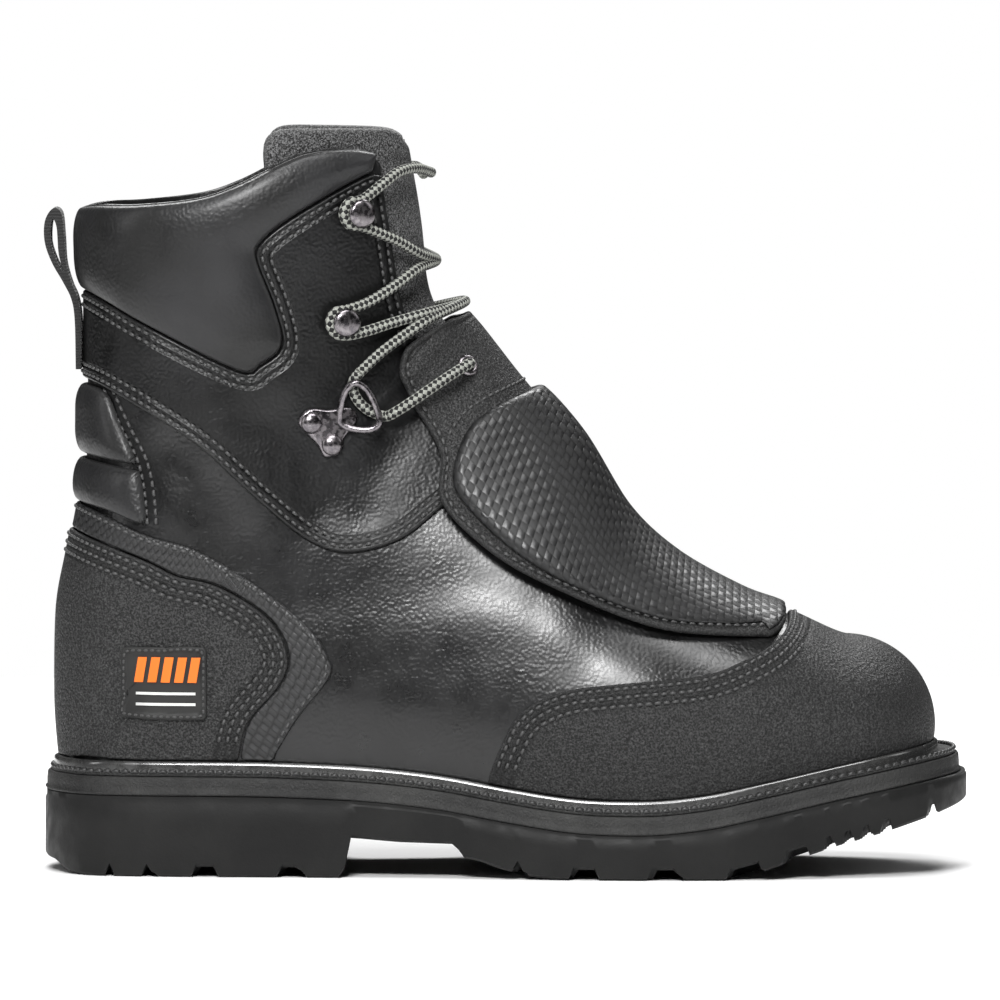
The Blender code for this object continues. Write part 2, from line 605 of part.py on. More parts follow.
def make_upper():
    """Vamp and shaft in one hollow piece, open at the collar, down the throat and underneath."""
    rows, sides = upper_grid()
    level = np.zeros(rows.shape)
    return finish(sheet("upper", rows, sides, level - UPPER_WALL, level, (COLUMNS - 1,)),
                  *LEATHER)


def make_tongue():
    rows = ROW_GRID[(ROW_GRID > 8) & (ROW_GRID <= 24)]
    edge = curve(TONGUE_EDGE, 6)
    columns = np.linspace(-1, 1, 11)
    grid_rows = np.zeros((len(rows), len(columns)))
    grid_sides = np.zeros(grid_rows.shape)
    for i, row in enumerate(rows):
        reach = side_where(row, edge)
        for j, column_share in enumerate(columns):
            side = column_share * abs(reach)
            grid_sides[i, j] = side
            corner = 3.5 * max(0.0, abs(column_share) - 0.7) / 0.3
            top = row_at_height(side, TONGUE_TOP_Z - corner)
            grid_rows[i, j] = row if row <= 16 else 16 + (row - 16) * (top - 16) / 8.0
    outer = -(UPPER_WALL + 2 * GAP + 3.0 * np.clip((13.0 - grid_rows) / 3, 0, 1))
    return finish(sheet("tongue", grid_rows, grid_sides, outer - TONGUE_THICK, outer),
                  *ROUGH_LEATHER)


def guard_height(rows, sides):
    """Height of the guard flap's inner face."""
    table_rows = column(GUARD, "row")
    flap = smooth(table_rows, column(GUARD, "flap"), rows)
    edge = smooth(table_rows, column(GUARD, "edge"), rows)
    return flap + edge * np.minimum(np.abs(sides) / GUARD_SIDE, 1) ** 2


def guard_sheet(name, last_row, low, high, outline, end_x):
    """A layer of the guard over the ridge, within a side view outline and behind the toe cap."""
    rows = ROW_GRID[(ROW_GRID > 4.3) & (ROW_GRID < last_row)]
    rows, sides = np.meshgrid(rows, np.linspace(-0.8, 0.8, 17), indexing="ij")
    piece = sheet(name, rows, sides, low(rows, sides), high(rows, sides))
    outside = ((60.0, 240.0), (end_x, 240.0))
    line = curve(outline)
    line = line[line[:, 0] < end_x - 0.5]
    end = (end_x, np.interp(end_x, (71.3, 95.0), (line[0, 1], line[0, 1] + 1.5)))
    whole = np.concatenate((line, outside, (end,)))
    return combine(piece, prism("outline", whole, -90, 90), "INTERSECT")


def flap_outer(rows, sides):
    return guard_height(rows, sides) + FLAP_THICK


def panel_inner(rows, sides):
    return flap_outer(rows, sides) + GAP


def panel_outer(rows, sides):
    """The panel is thickest in the middle and rounds down to its edge."""
    points = surface(rows, sides)
    away = edge_distance(points[..., 0], points[..., 2], curve(PANEL_EDGE))
    thick = smooth(column(GUARD, "row"), column(GUARD, "panel"), rows)
    round_edge = np.sqrt(np.clip(1 - (1 - np.minimum(away / 7.0, 1)) ** 2, 0.09, 1))
    return panel_inner(rows, sides) + thick * round_edge


def make_guard():
    flap = guard_sheet("guard_flap", 15.1, guard_height, flap_outer, FLAP_EDGE, 89.6)
    pad = guard_sheet("guard_panel", 11.6, panel_inner, panel_outer, PANEL_EDGE, 88.6)
    return finish(flap, *ROUGH_LEATHER), finish(pad, *PADDING)


def make_toe_cap():
    edge = above_welt(curve(TOE_CAP_EDGE))
    outline = np.concatenate((edge, ((160.0, 96.0),), welt_line(160.0, edge[0, 0])))
    return finish(panel("toe_cap", outline, 0.0, 10.4, GAP, GAP + OVERLAY), *ROUGH_LEATHER)


def make_counter():
    edge = above_welt(curve(COUNTER_EDGE))
    whole = np.concatenate((edge, welt_line(edge[-1, 0], -160.0, 6)))
    counter = panel("counter", whole, 10.0, 21.2, 3 * GAP, 3 * GAP + OVERLAY)
    inner = edge + (0.5, 0.4)
    outer = curve(COUNTER_STRIP_EDGE)
    strip_outline = np.concatenate((outer, ((-79.4, 37.0), (inner[-1, 0], 37.0)), inner[::-1]))
    strip = panel("counter_strip", strip_outline, 10.0, 21.2, GAP, GAP + OVERLAY)
    limit = prism("limit", np.concatenate((welt_line(-160.0, -40.0, 6), ((-40.0, 200.0),
                                                                       (-160.0, 200.0)))), -90, 90)
    combine(strip, limit, "INTERSECT")
    return finish(counter, *ROUGH_LEATHER), finish(strip, *PADDING)


def make_quarter():
    throat = curve(THROAT_EDGE)
    throat = throat[(throat[:, 1] < 236.4) & (throat[:, 1] > 152)][::-1] - (0.8, 0.4)
    collar = curve(COLLAR_LOW)[::-1] + (0.3, -0.6)
    collar = collar[collar[:, 0] < throat[-1, 0] - 1.5]
    outline = np.concatenate((curve(QUARTER_LOW), throat, collar))
    return finish(panel("quarter", outline, 9.4, 24.0, GAP, GAP + OVERLAY), *LEATHER)


def make_collar():
    low = curve(COLLAR_LOW)
    high = curve(COLLAR_TOP)[::-1] - (0.0, 0.4)
    high = high[high[:, 0] < -43.0]
    low = low[low[:, 0] < -44.0]
    outline = np.concatenate((low, high))
    return finish(panel("collar", outline, 17.3, 24.0, GAP, GAP + 1.0, puff=3.6,
                        puff_width=11.0), *PADDING)


def make_pads():
    high = panel("ankle_pad_upper", curve(PAD_HIGH), 17.3, 24.0, GAP, GAP + 0.8, puff=3.2,
                 puff_width=8.0)
    low = panel("ankle_pad_lower", curve(PAD_LOW), 16.1, 22.6, GAP, GAP + 0.8, puff=3.0,
                puff_width=7.0)
    return finish(high, *PADDING), finish(low, *PADDING)


def make_badge():
    return finish(panel("badge", np.array(BADGE_BOX), 11.5, 18.6, 2.8, 3.8, half=-1),
                  *RUBBER)


def make_pull_loop():
    """Webbing folded over behind the collar, its tail sewn down the back."""
    outer = curve(((-145.0, 169.0), (-145.3, 185.0), (-146.4, 192.5), (-149.3, 198.5),
                   (-153.0, 205.0), (-155.4, 212.0), (-155.3, 219.0), (-152.6, 223.2),
                   (-149.8, 221.6), (-148.9, 214.0), (-148.3, 205.0), (-146.4, 198.0),
                   (-144.2, 192.5), (-143.2, 185.0), (-143.2, 169.0)))
    hole = loop(((-152.9, 219.4), (-151.4, 217.0), (-150.7, 208.0), (-149.2, 202.0),
                 (-151.4, 205.6), (-153.4, 212.0)))
    body = prism("pull_loop", outer, -10.0, 10.0)
    combine(body, prism("hole", hole, -20, 20), "DIFFERENCE")
    return finish(body, *WEBBING)


def turned(name, centre, axis, profile, sides=10):
    """A closed profile of (radius, height) turned about an axis."""
    axis = axis / np.linalg.norm(axis)
    first = np.cross(axis, (0.3, 0.1, 1.0))
    first /= np.linalg.norm(first)
    second = np.cross(axis, first)
    closed = profile[0][0] > 0
    vertices = []
    rings = []
    for radius, height in profile:
        at = centre + axis * height
        if radius == 0:
            rings.append([len(vertices)] * sides)
            vertices.append(at)
            continue
        rings.append([len(vertices) + k for k in range(sides)])
        for k in range(sides):
            turn = 2 * math.pi * k / sides
            vertices.append(at + radius * (first * math.cos(turn) + second * math.sin(turn)))
    pairs = list(zip(rings, rings[1:]))
    if closed:
        pairs.append((rings[-1], rings[0]))
    faces = []
    for a, b in pairs:
        for k in range(sides):
            j = (k + 1) % sides
            face = list(dict.fromkeys((a[k], a[j], b[j], b[k])))
            if len(face) > 2:
                faces.append(face)
    return triangulated(new_object(name, vertices, faces))


def tube(name, points, radius, closed=False, sides=6):
    """A round tube along points, with flat ends unless it is closed."""
    points = np.asarray(points, float)
    count = len(points)
    if closed:
        along = np.roll(points, -1, axis=0) - np.roll(points, 1, axis=0)
    else:
        along = np.gradient(points, axis=0)
    along /= np.linalg.norm(along, axis=1, keepdims=True)
    first = np.cross(along[0], (0.2, 0.9, 0.3))
    vertices = []
    for at, forward in zip(points, along):
        first = first - forward * (first @ forward)
        first /= np.linalg.norm(first)
        second = np.cross(forward, first)
        for k in range(sides):
            turn = 2 * math.pi * k / sides
            vertices.append(at + radius * (first * math.cos(turn) + second * math.sin(turn)))
    faces = []
    shift = 0
    if closed:
        start = np.array(vertices[:sides])
        end_first = first - along[0] * (first @ along[0])
        end = points[0] + radius * end_first / np.linalg.norm(end_first)
        shift = int(np.argmin(np.linalg.norm(start - end, axis=1)))
    for i in range(count if closed else count - 1):
        for k in range(sides):
            a = i * sides + k
            b = i * sides + (k + 1) % sides
            if i == count - 1:
                c = (k + 1 + shift) % sides
                d = (k + shift) % sides
            else:
                c = b + sides
                d = a + sides
            faces.append([a, b, c, d])
    if not closed:
        faces.append(list(range(sides))[::-1])
        faces.append([(count - 1) * sides + k for k in range(sides)])
    return triangulated(new_object(name, vertices, faces))


SIDES = (("lateral", -1), ("medial", 1))


def make_hooks():
    """Lace lock, middle hook and top hook on each side."""
    hook_profile = ((0, 2.1), (5.2, 2.1), (5.2, 2.8), (4.6, 3.2), (2.0, 3.3), (2.0, 8.2),
                    (4.6, 8.5), (4.8, 9.3), (3.4, 10.1), (0, 10.3))
    pieces = []
    for word, sign in SIDES:
        for name, place in (("middle_hook", MIDDLE_HOOK), ("top_hook", TOP_HOOK)):
            row, side = locate(*place, lateral=sign < 0)
            foot = surface(row, side)
            pieces.append(finish(turned(f"{name}_{word}", foot, normal(row, side),
                                        hook_profile), *NICKEL))
        pieces.append(make_lock(word, sign))
    return pieces


def make_lock(word, sign):
    """Riveted plate with a D ring that the lace runs through."""
    lock = panel(f"lace_lock_{word}", loop(LOCK_PLATE), 11.5, 18.6, 2.1, 3.7, half=sign)
    for place in LOCK_RIVETS:
        row, side = locate(*place, lateral=sign < 0)
        head = ((0, 2.8), (3.4, 2.9), (3.4, 3.9), (2.2, 4.8), (0, 5.2))
        combine(lock, turned("rivet", surface(row, side), normal(row, side), head, 8), "UNION")
    path = [on_upper(x, z, height, sign < 0) for x, z, height in LOCK_RING]
    ring = loop(path)
    return finish(combine(lock, tube("ring", ring, 1.3, closed=True), "UNION"), *NICKEL)


def make_guard_eyelets():
    pieces = []
    for word, sign in SIDES:
        row, side = locate(*GUARD_EYELET, lateral=sign < 0)
        height = float(guard_height(row, side)) + FLAP_THICK
        foot = lifted(np.array(row), np.array(side), np.array(height))
        ring = ((1.9, 0.4), (3.6, 0.4), (3.6, 0.9), (3.0, 1.5), (2.2, 1.5), (1.9, 1.0))
        pieces.append(finish(turned(f"guard_eyelet_{word}", foot, normal(row, side), ring, 14),
                             *NICKEL))
    return pieces


def hook_turn(place, radius, height, first, last, count=5):
    """Points around a hook's neck, in the side view, from one angle to another."""
    turns = np.radians(np.linspace(first, last, count))
    return [(place[0] + radius * math.cos(a), place[1] + radius * math.sin(a), height)
            for a in turns]


def lace_route():
    """One lace end: lock, over to the other side's middle hook, back to the top hook."""
    near = -1
    far = 1
    route = [(near, -50.9, 168.8, 6.4), (near, -44.5, 174.8, 6.0), (near, -37.5, 180.2, 6.2),
             (near, -29.5, 185.4, 6.6), (0, -21.0, 188.2, 5.2), (far, -29.5, 187.6, 6.0),
             (far, -40.0, 185.2, 5.6), (far, -49.0, 182.8, 5.6)]
    route += [(far, *point) for point in hook_turn(MIDDLE_HOOK, 4.5, 5.8, -75, -285)]
    route += [(far, -48.0, 192.6, 5.4), (far, -39.0, 198.0, 4.4), (far, -31.5, 203.0, 2.6),
              (0, -24.0, 205.5, 0.6), (near, -30.5, 208.0, 2.2), (near, -38.5, 212.4, 4.4),
              (near, -45.5, 215.8, 5.6)]
    route += [(near, *point) for point in hook_turn(TOP_HOOK, 4.5, 5.8, -75, -285)]
    route += [(near, -44.8, 231.4, 5.4), (near, -39.0, 235.4, 4.2), (near, -32.0, 236.6, 1.8),
              (0, -28.6, 234.6, 0.4)]
    return route


def route_points(route, mirror=1):
    points = []
    for half, x, z, height in route:
        if half == 0:
            row = row_on_ridge(z)
            points.append(lifted(np.array(row), np.array(0.0), np.array(height)))
        else:
            points.append(on_upper(x, z, height, half * mirror < 0))
    return np.array(points)


def row_on_ridge(z):
    low, high = 9.0, float(len(ROWS) - 2)
    for _ in range(40):
        middle = (low + high) / 2
        if surface(middle, 0.0)[2] < z:
            low = middle
        else:
            high = middle
    return (low + high) / 2


def make_laces():
    route = lace_route()
    lace = tube("lace_crossings", route_points(route), LACE_RADIUS)
    combine(lace, tube("other_end", route_points(route, -1), LACE_RADIUS), "UNION")
    pieces = [finish(lace, *LACE)]
    for word, sign in SIDES:
        path = [on_upper(x, z, height, sign < 0) for x, z, height in STRAND_TO_LOCK]
        pieces.append(finish(tube(f"lace_strand_{word}", curve(path), LACE_RADIUS), *LACE))
    return pieces


def main():
    for piece in list(bpy.data.objects):
        bpy.data.objects.remove(piece)
    make_outsole()
    make_midsole()
    make_welt()
    make_insole()
    make_upper()
    make_tongue()
    make_toe_cap()
    make_counter()
    make_quarter()
    make_collar()
    make_pads()
    make_guard()
    make_badge()
    make_pull_loop()
    make_hooks()
    make_guard_eyelets()
    make_laces()


main()
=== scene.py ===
"""The looks of a metatarsal guard work boot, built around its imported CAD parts.

Each piece is cut from the same surface as its CAD part, only finer: rows run from the foot or the
back seam over to the ridge, and side runs from -1, lateral, to 1, medial. Tables are in
millimetres. Creases, seams, weave and grain are added here.
"""
import math

import bmesh
import bpy
import numpy as np
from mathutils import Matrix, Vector
from mathutils.bvhtree import BVHTree


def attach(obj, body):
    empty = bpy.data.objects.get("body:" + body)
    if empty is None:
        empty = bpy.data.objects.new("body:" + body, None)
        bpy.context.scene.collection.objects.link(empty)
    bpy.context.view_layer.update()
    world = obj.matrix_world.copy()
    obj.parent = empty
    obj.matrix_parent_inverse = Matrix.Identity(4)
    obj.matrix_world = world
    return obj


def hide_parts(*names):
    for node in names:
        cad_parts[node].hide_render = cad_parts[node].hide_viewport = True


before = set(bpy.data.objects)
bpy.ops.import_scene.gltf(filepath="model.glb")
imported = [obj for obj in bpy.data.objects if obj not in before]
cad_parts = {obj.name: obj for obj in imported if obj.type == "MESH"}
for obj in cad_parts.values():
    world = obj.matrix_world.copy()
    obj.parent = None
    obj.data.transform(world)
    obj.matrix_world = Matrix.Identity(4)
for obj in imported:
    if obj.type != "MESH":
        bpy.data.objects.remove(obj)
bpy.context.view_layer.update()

MM = 0.001
GAP = 0.3                # clearance between pieces that lie on each other
FOOT_GAP = 0.5           # from the welt to the lower edge of the upper
UPPER_WALL = 2.5
OVERLAY = 1.5            # thickness of a stitched-on leather layer
TONGUE_THICK = 3.5
INSOLE_THICK = 4.0
LACE_RADIUS = 1.8
BRAID_PITCH = 1.9        # length of one check of the braid
BRAID_TURNS = 5          # checks around the lace
NECK_TURN = 4.5          # radius of a lace's turn around a hook
TUBE_SIDES = 14
STRIP_CELL = 1.9         # size of the weave's squares
GUARD_CELL = 2.7
RIB_PITCH = 1.1          # ribs of the webbing, and the yarns across them
YARN_PITCH = 0.7
STITCH = 3.0             # from one stitch to the next
CENTRE_Y = 0.9           # moves the model so that Y = 0 is the middle of its width
WELT_THICK = 1.3
MIDSOLE_THICK = 5.6
BEAD_HEIGHT = 3.8
BEAD_INSIDE = 1.5        # from the foot of the upper to the bead
BEAD_OUTSIDE = 4.2
OVERLAY_FOOT = 4.2       # overlays end this far above the welt, over the bead
BACK_ROW = 15.0          # row from the back of the heel, where the two sides meet

# Height of the welt's top face along the sole
WELT_TOP = (
    ("x", "z"),
    (-160.0, 34.8), (-103.0, 34.8), (-76.0, 34.5), (-45.0, 33.1), (-22.0, 30.6), (1.0, 26.5),
    (24.0, 23.2), (45.0, 22.6), (66.0, 24.4), (86.0, 28.4), (116.0, 34.8), (143.0, 39.7),
    (160.0, 41.4),
)

# One row for each section of the last. rise is the height of the foot point over the welt, start
# the angle where the section begins, lateral and medial its half widths, lean how far it bulges
# outward at the toe, egg how much narrower it is in front and power how square it is. A rise or a
# start below 0 counts as 0: the back seam begins where both pass it.
ROWS = (
    ("foot_x", "rise", "top_x", "top_z", "start", "lateral", "medial", "lean", "egg", "power"),
    (142.0, -60.0, 114.6, 77.4, 72.0, 0.0, 0.0, 1.0, 0.0, 1.0),
    (139.6, -60.0, 114.6, 77.4, 71.0, 17.5, 18.5, 1.0, 0.0, 1.0),
    (132.6, -60.0, 114.6, 77.4, 70.0, 31.5, 33.5, 1.0, 0.0, 1.0),
    (122.0, -60.0, 114.6, 77.4, 68.0, 40.5, 42.5, 1.0, 0.0, 1.0),
    (109.5, -60.0, 109.5, 79.2, 66.0, 45.5, 47.0, 1.0, 0.0, 0.97),
    (92.6, -60.0, 92.6, 86.9, 66.0, 50.0, 50.5, 1.0, 0.02, 0.95),
    (75.7, -60.0, 77.4, 91.9, 66.0, 53.0, 52.0, 0.0, 0.04, 0.95),
    (48.7, -60.0, 54.8, 102.8, 66.0, 54.0, 51.5, 0.0, 0.06, 0.98),
    (21.6, -60.0, 35.8, 117.6, 65.0, 51.5, 47.5, 0.0, 0.10, 1.0),
    (-8.8, -60.0, 18.9, 142.3, 64.0, 47.0, 43.0, 0.0, 0.14, 1.02),
    (-42.6, -60.0, 3.0, 160.0, 62.0, 42.5, 39.5, 0.0, 0.16, 1.0),
    (-76.4, -60.0, -7.1, 173.1, 60.0, 39.5, 38.0, 0.0, 0.16, 0.95),
    (-106.8, -60.0, -12.5, 180.0, 57.0, 38.0, 37.5, 0.0, 0.15, 0.88),
    (-133.5, -46.0, -16.0, 184.0, 45.0, 37.2, 36.8, 0.0, 0.13, 0.82),
    (-145.7, -23.0, -18.0, 186.5, 17.5, 36.8, 36.4, 0.0, 0.12, 0.80),
    (-148.7, 0.0, -19.8, 189.0, 0.0, 36.8, 36.4, 0.0, 0.12, 0.80),
    (-150.4, 25.0, -22.5, 195.5, -14.0, 37.0, 36.5, 0.0, 0.12, 0.80),
    (-149.9, 52.0, -23.8, 201.5, -20.0, 37.0, 36.5, 0.0, 0.12, 0.82),
    (-146.4, 72.4, -24.2, 206.5, -20.0, 37.0, 36.5, 0.0, 0.12, 0.84),
    (-142.9, 91.0, -24.6, 211.0, -20.0, 37.2, 36.8, 0.0, 0.13, 0.86),
    (-141.4, 109.6, -25.1, 216.0, -20.0, 37.8, 37.4, 0.0, 0.14, 0.88),
    (-141.2, 129.8, -25.8, 221.5, -20.0, 38.8, 38.4, 0.0, 0.15, 0.90),
    (-141.0, 150.0, -26.8, 228.0, -20.0, 40.0, 39.6, 0.0, 0.15, 0.92),
    (-141.0, 167.0, -28.2, 236.0, -20.0, 41.0, 40.6, 0.0, 0.15, 0.93),
    (-141.4, 182.2, -29.6, 244.0, -20.0, 41.6, 41.2, 0.0, 0.15, 0.94),
    (-142.0, 194.0, -31.0, 252.0, -20.0, 42.0, 41.6, 0.0, 0.15, 0.94),
    (-142.6, 205.0, -32.5, 259.0, -20.0, 42.2, 41.8, 0.0, 0.15, 0.94),
)

# How far the flap and the padded panel of the guard stand off the upper, row by row
GUARD = (
    ("row", "flap", "edge", "panel"),
    (4.5, 0.4, 0.0, 0.9),
    (5.2, 0.4, 0.4, 0.9),
    (6.0, 0.6, 2.4, 1.3),
    (7.0, 1.0, 4.4, 2.6),
    (8.0, 2.2, 5.5, 3.6),
    (9.0, 3.2, 5.8, 3.9),
    (10.0, 3.7, 4.6, 3.9),
    (11.0, 3.5, 3.0, 3.9),
    (12.0, 3.5, 2.4, 3.9),
    (13.0, 3.5, 2.4, 3.9),
    (16.0, 3.5, 2.4, 3.9),
)

FLAP_THICK = 2.2

GUARD_SIDE = 0.75        # share of the half section where the edge lift is reached

# Side view lines, toe to the right: (x, z)
TOE_CAP_EDGE = ((-8.0, 24.0), (-6.4, 31.4), (-2.0, 43.3), (4.7, 55.1), (18.3, 62.5), (38.5, 65.2),
                (65.6, 67.6), (79.1, 72.0), (89.2, 77.1), (95.0, 84.0), (95.5, 96.0))

COUNTER_STRIP_EDGE = ((-160.0, 126.4), (-145.3, 124.4), (-133.8, 120.3), (-120.3, 114.2),
                      (-103.4, 109.2), (-83.1, 97.3), (-66.2, 83.8), (-59.5, 73.7),
                      (-59.0, 66.9), (-69.6, 53.4), (-79.0, 38.0))

COUNTER_EDGE = ((-160.0, 117.9), (-146.7, 115.3), (-137.2, 111.9), (-120.3, 105.5),
                (-110.2, 100.7), (-96.7, 97.3), (-79.8, 86.5), (-73.0, 73.7), (-76.4, 63.5),
                (-86.5, 51.7), (-89.9, 38.0))

QUARTER_LOW = ((-160.0, 167.8), (-142.3, 166.6), (-127.1, 159.9), (-103.4, 144.7),
               (-83.1, 126.1), (-66.2, 112.6), (-52.7, 108.5), (-35.8, 112.6), (-22.3, 122.7),
               (-10.0, 133.0), (-8.5, 142.0))

THROAT_EDGE = ((-42.5, 258.0), (-41.5, 234.9), (-38.7, 215.6), (-34.5, 191.0), (-27.4, 176.8),
               (-15.5, 161.6), (0.0, 150.5), (24.0, 147.0))

COLLAR_LOW = ((-160.0, 198.0), (-140.6, 196.0), (-120.3, 185.2), (-89.9, 170.0),
              (-82.5, 172.0), (-75.4, 178.5), (-78.1, 192.0), (-83.8, 207.2), (-82.5, 212.9),
              (-73.0, 220.7), (-52.7, 232.5), (-39.5, 238.3))

COLLAR_TOP = ((-160.0, 219.0), (-146.7, 222.6), (-137.2, 224.8), (-123.7, 225.2),
              (-103.4, 227.4), (-89.9, 231.9), (-76.4, 238.6), (-66.2, 242.6), (-52.7, 243.8),
              (-42.6, 241.9), (-34.0, 238.0))

PAD_HIGH = ((-160.0, 163.8), (-136.5, 163.2), (-129.5, 152.0), (-124.5, 141.0),
            (-126.0, 138.2), (-160.0, 144.5))

PAD_LOW = ((-160.0, 142.5), (-126.0, 136.3), (-122.6, 134.4), (-121.0, 126.0),
           (-121.5, 118.2), (-134.2, 122.4), (-160.0, 128.4))

TONGUE_EDGE = ((-80.4, 262.0), (-80.0, 238.0), (-76.0, 220.0), (-66.0, 200.0), (-52.0, 180.0),
               (-34.0, 160.0), (-14.0, 144.0), (8.0, 132.0), (45.0, 122.0))

TONGUE_TOP_Z = 250.8

FLAP_EDGE = ((110.0, 86.0), (92.0, 82.0), (87.5, 79.8), (71.3, 79.8), (52.4, 81.5), (33.1, 87.2),
             (14.2, 95.7), (0.0, 103.4), (-11.2, 111.9), (-18.9, 119.7), (-22.8, 127.1),
             (-22.3, 138.6), (-26.4, 148.0), (-33.1, 158.2), (-36.8, 167.0), (-36.8, 172.7),
             (-34.1, 177.5), (-23.7, 183.2), (-11.2, 186.2), (-5.4, 185.9), (0.0, 189.0))

PANEL_EDGE = ((110.0, 84.6), (89.2, 82.6), (71.3, 82.0), (52.4, 83.5), (33.1, 89.2),
              (14.2, 98.5), (-1.0, 109.2), (-13.6, 121.6), (-18.4, 129.5), (-17.5, 139.3),
              (-13.2, 148.7), (-4.7, 154.5), (8.5, 158.8), (18.3, 158.8), (32.0, 158.0))

BADGE_BOX = ((-128.1, 77.1), (-100.0, 77.1), (-100.0, 52.7), (-128.1, 52.7))

# Underside of the outsole: heel block, arch, step, forefoot and toe spring
SOLE_BOTTOM = ((-157.0, 5.0), (-152.0, 4.2), (-147.5, 1.2), (-141.0, 0.0), (-54.6, 0.0),
               (-52.1, 13.5), (-35.8, 12.2), (-16.4, 11.7), (-15.2, 7.3), (-8.8, 6.1),
               (-2.0, 3.6), (7.0, 1.3), (16.0, 0.3), (26.0, 0.0), (76.0, 0.0), (84.0, 2.2),
               (96.7, 6.6), (110.2, 11.0), (126.4, 15.4), (142.6, 20.3), (160.0, 25.6))

# Notches in the side of the tread: where they start and end, and how far they slope
NOTCHES = (
    ("from_x", "to_x", "slope"),
    (-134.5, -132.1, 0.0), (-122.0, -118.6, 0.0), (-105.1, -97.3, 4.0), (-76.4, -68.6, 4.0),
    (3.0, 5.8, 0.0), (21.6, 30.8, 4.0), (48.3, 57.8, 4.0), (74.0, 85.2, 4.0),
    (93.0, 100.7, 3.0), (106.5, 109.5, 0.0), (112.9, 115.9, 0.0), (119.0, 122.0, 0.0),
    (125.4, 128.8, 0.0), (141.3, 144.3, 0.0),
)

NOTCH_HIGH = 3.5

NOTCH_IN = 15.0          # how far a notch runs in from the side
GROOVE_PITCH = 11.0      # slanted grooves across the middle of the tread
GROOVE_HALF = 2.3
GROOVE_DEEP = 3.0

# Lacing, lateral side: (x, z, height over the upper)
LOCK_RIVETS = ((-65.6, 152.1), (-58.8, 144.7))

LOCK_PLATE = ((-70.2, 152.5), (-66.5, 156.8), (-60.0, 156.4), (-53.0, 157.2), (-50.5, 153.0),
              (-54.3, 147.6), (-56.2, 142.0), (-61.0, 140.4), (-63.6, 144.6), (-66.6, 147.8))

LOCK_RING = ((-56.6, 154.0, 3.7), (-55.6, 161.6, 5.4), (-52.6, 165.2, 6.2), (-48.6, 162.6, 6.2),
             (-44.9, 156.0, 6.0), (-45.0, 151.6, 6.0), (-48.6, 149.4, 5.4), (-55.0, 150.8, 3.7))

MIDDLE_HOOK = (-56.1, 185.9)

TOP_HOOK = (-52.1, 222.4)

GUARD_EYELET = (-15.5, 168.3)

STRAND_TO_LOCK = ((-17.6, 167.2, 11.4), (-24.0, 163.6, 12.2), (-33.0, 158.4, 10.6),
                  (-38.5, 155.4, 8.2), (-42.0, 153.6, 6.2))

SIDES = (("lateral", -1), ("medial", 1))

# Creases in the side view: half width, depth, line
CREASES = (
    ("width", "depth", "line"),
    (8.0, 0.24, ((-64.0, 92.0), (-40.0, 92.0), (-14.0, 98.0), (8.0, 92.0))),
    (7.0, 0.20, ((-52.0, 74.0), (-26.0, 72.0), (0.0, 76.0), (22.0, 70.0))),
    (9.0, 0.7, ((-78.0, 150.0), (-66.0, 138.0), (-62.0, 124.0))),
    (8.0, 0.6, ((-112.0, 140.0), (-100.0, 128.0), (-92.0, 112.0))),
    (6.0, 0.4, ((-34.0, 150.0), (-44.0, 136.0), (-46.0, 122.0))),
)

# Distances of the stitch rows from the edge of their panel
TOE_SEAMS = (1.8, 4.6, 7.4)
COUNTER_SEAMS = (1.8, 4.6, 7.4)
QUARTER_SEAMS = (1.9, 4.6)
STRIP_SEAM = 1.5
FLAP_SEAM = 2.0
PANEL_SEAM = -4.6        # outside the padded panel
BADGE_SEAM = 1.1
BADGE_BACK = 2.8         # from the upper to the back of the label
BADGE_RIM = 2.0
GUARD_END = ((88.3, 79.2), (91.4, 80.8), (93.6, 83.4), (94.4, 88.0), (94.4, 240.0))

# The lace from the guard passes under the ring and up to the first crossing
THROUGH_RING = ((-42.0, 154.2, 5.0), (-45.5, 155.0, 4.0), (-49.3, 157.6, 4.3),
                (-51.9, 161.4, 4.0), (-52.4, 165.6, 4.2), (-50.9, 168.8, 6.4))
ANKLE_SEAM = ((-133.8, 163.3), (-128.0, 151.5), (-122.0, 139.6), (-119.4, 128.0),
              (-118.6, 117.5))

CAMERA_AIM = (-0.0020, 0.0, 0.1244)
CAMERA_ELEVATION = 3.0
CAMERA_DISTANCE = 4.0
VIEW_WIDTH = 0.338
SENSOR_WIDTH = 36.0
FLOOR_HALF = 0.95
WORLD_STRENGTH = 0.03

# Area lights: name, place, what they point at, width, height and power
LIGHTS = (
    ("name", "place", "aim", "width", "height", "power"),
    ("key", (0.15, -0.60, 1.50), (0.0, 0.0, 0.08), 1.0, 0.5, 15.0),
    ("front", (-0.25, -1.35, 1.00), (-0.02, 0.0, 0.08), 0.5, 0.30, 25.0),
    ("left", (-1.3, -0.45, 0.7), (0.0, 0.0, 0.12), 0.3, 0.9, 2.6),
    ("right", (1.3, -0.1, 1.0), (0.0, 0.0, 0.10), 0.5, 0.9, 2.4),
    ("back", (0.0, 1.1, 1.3), (0.0, 0.0, 0.10), 1.4, 0.6, 26.0),
)

LAST_ROW = float(len(ROWS) - 2)


def column(table, name):
    place = table[0].index(name)
    return np.array([line[place] for line in table[1:]], float)


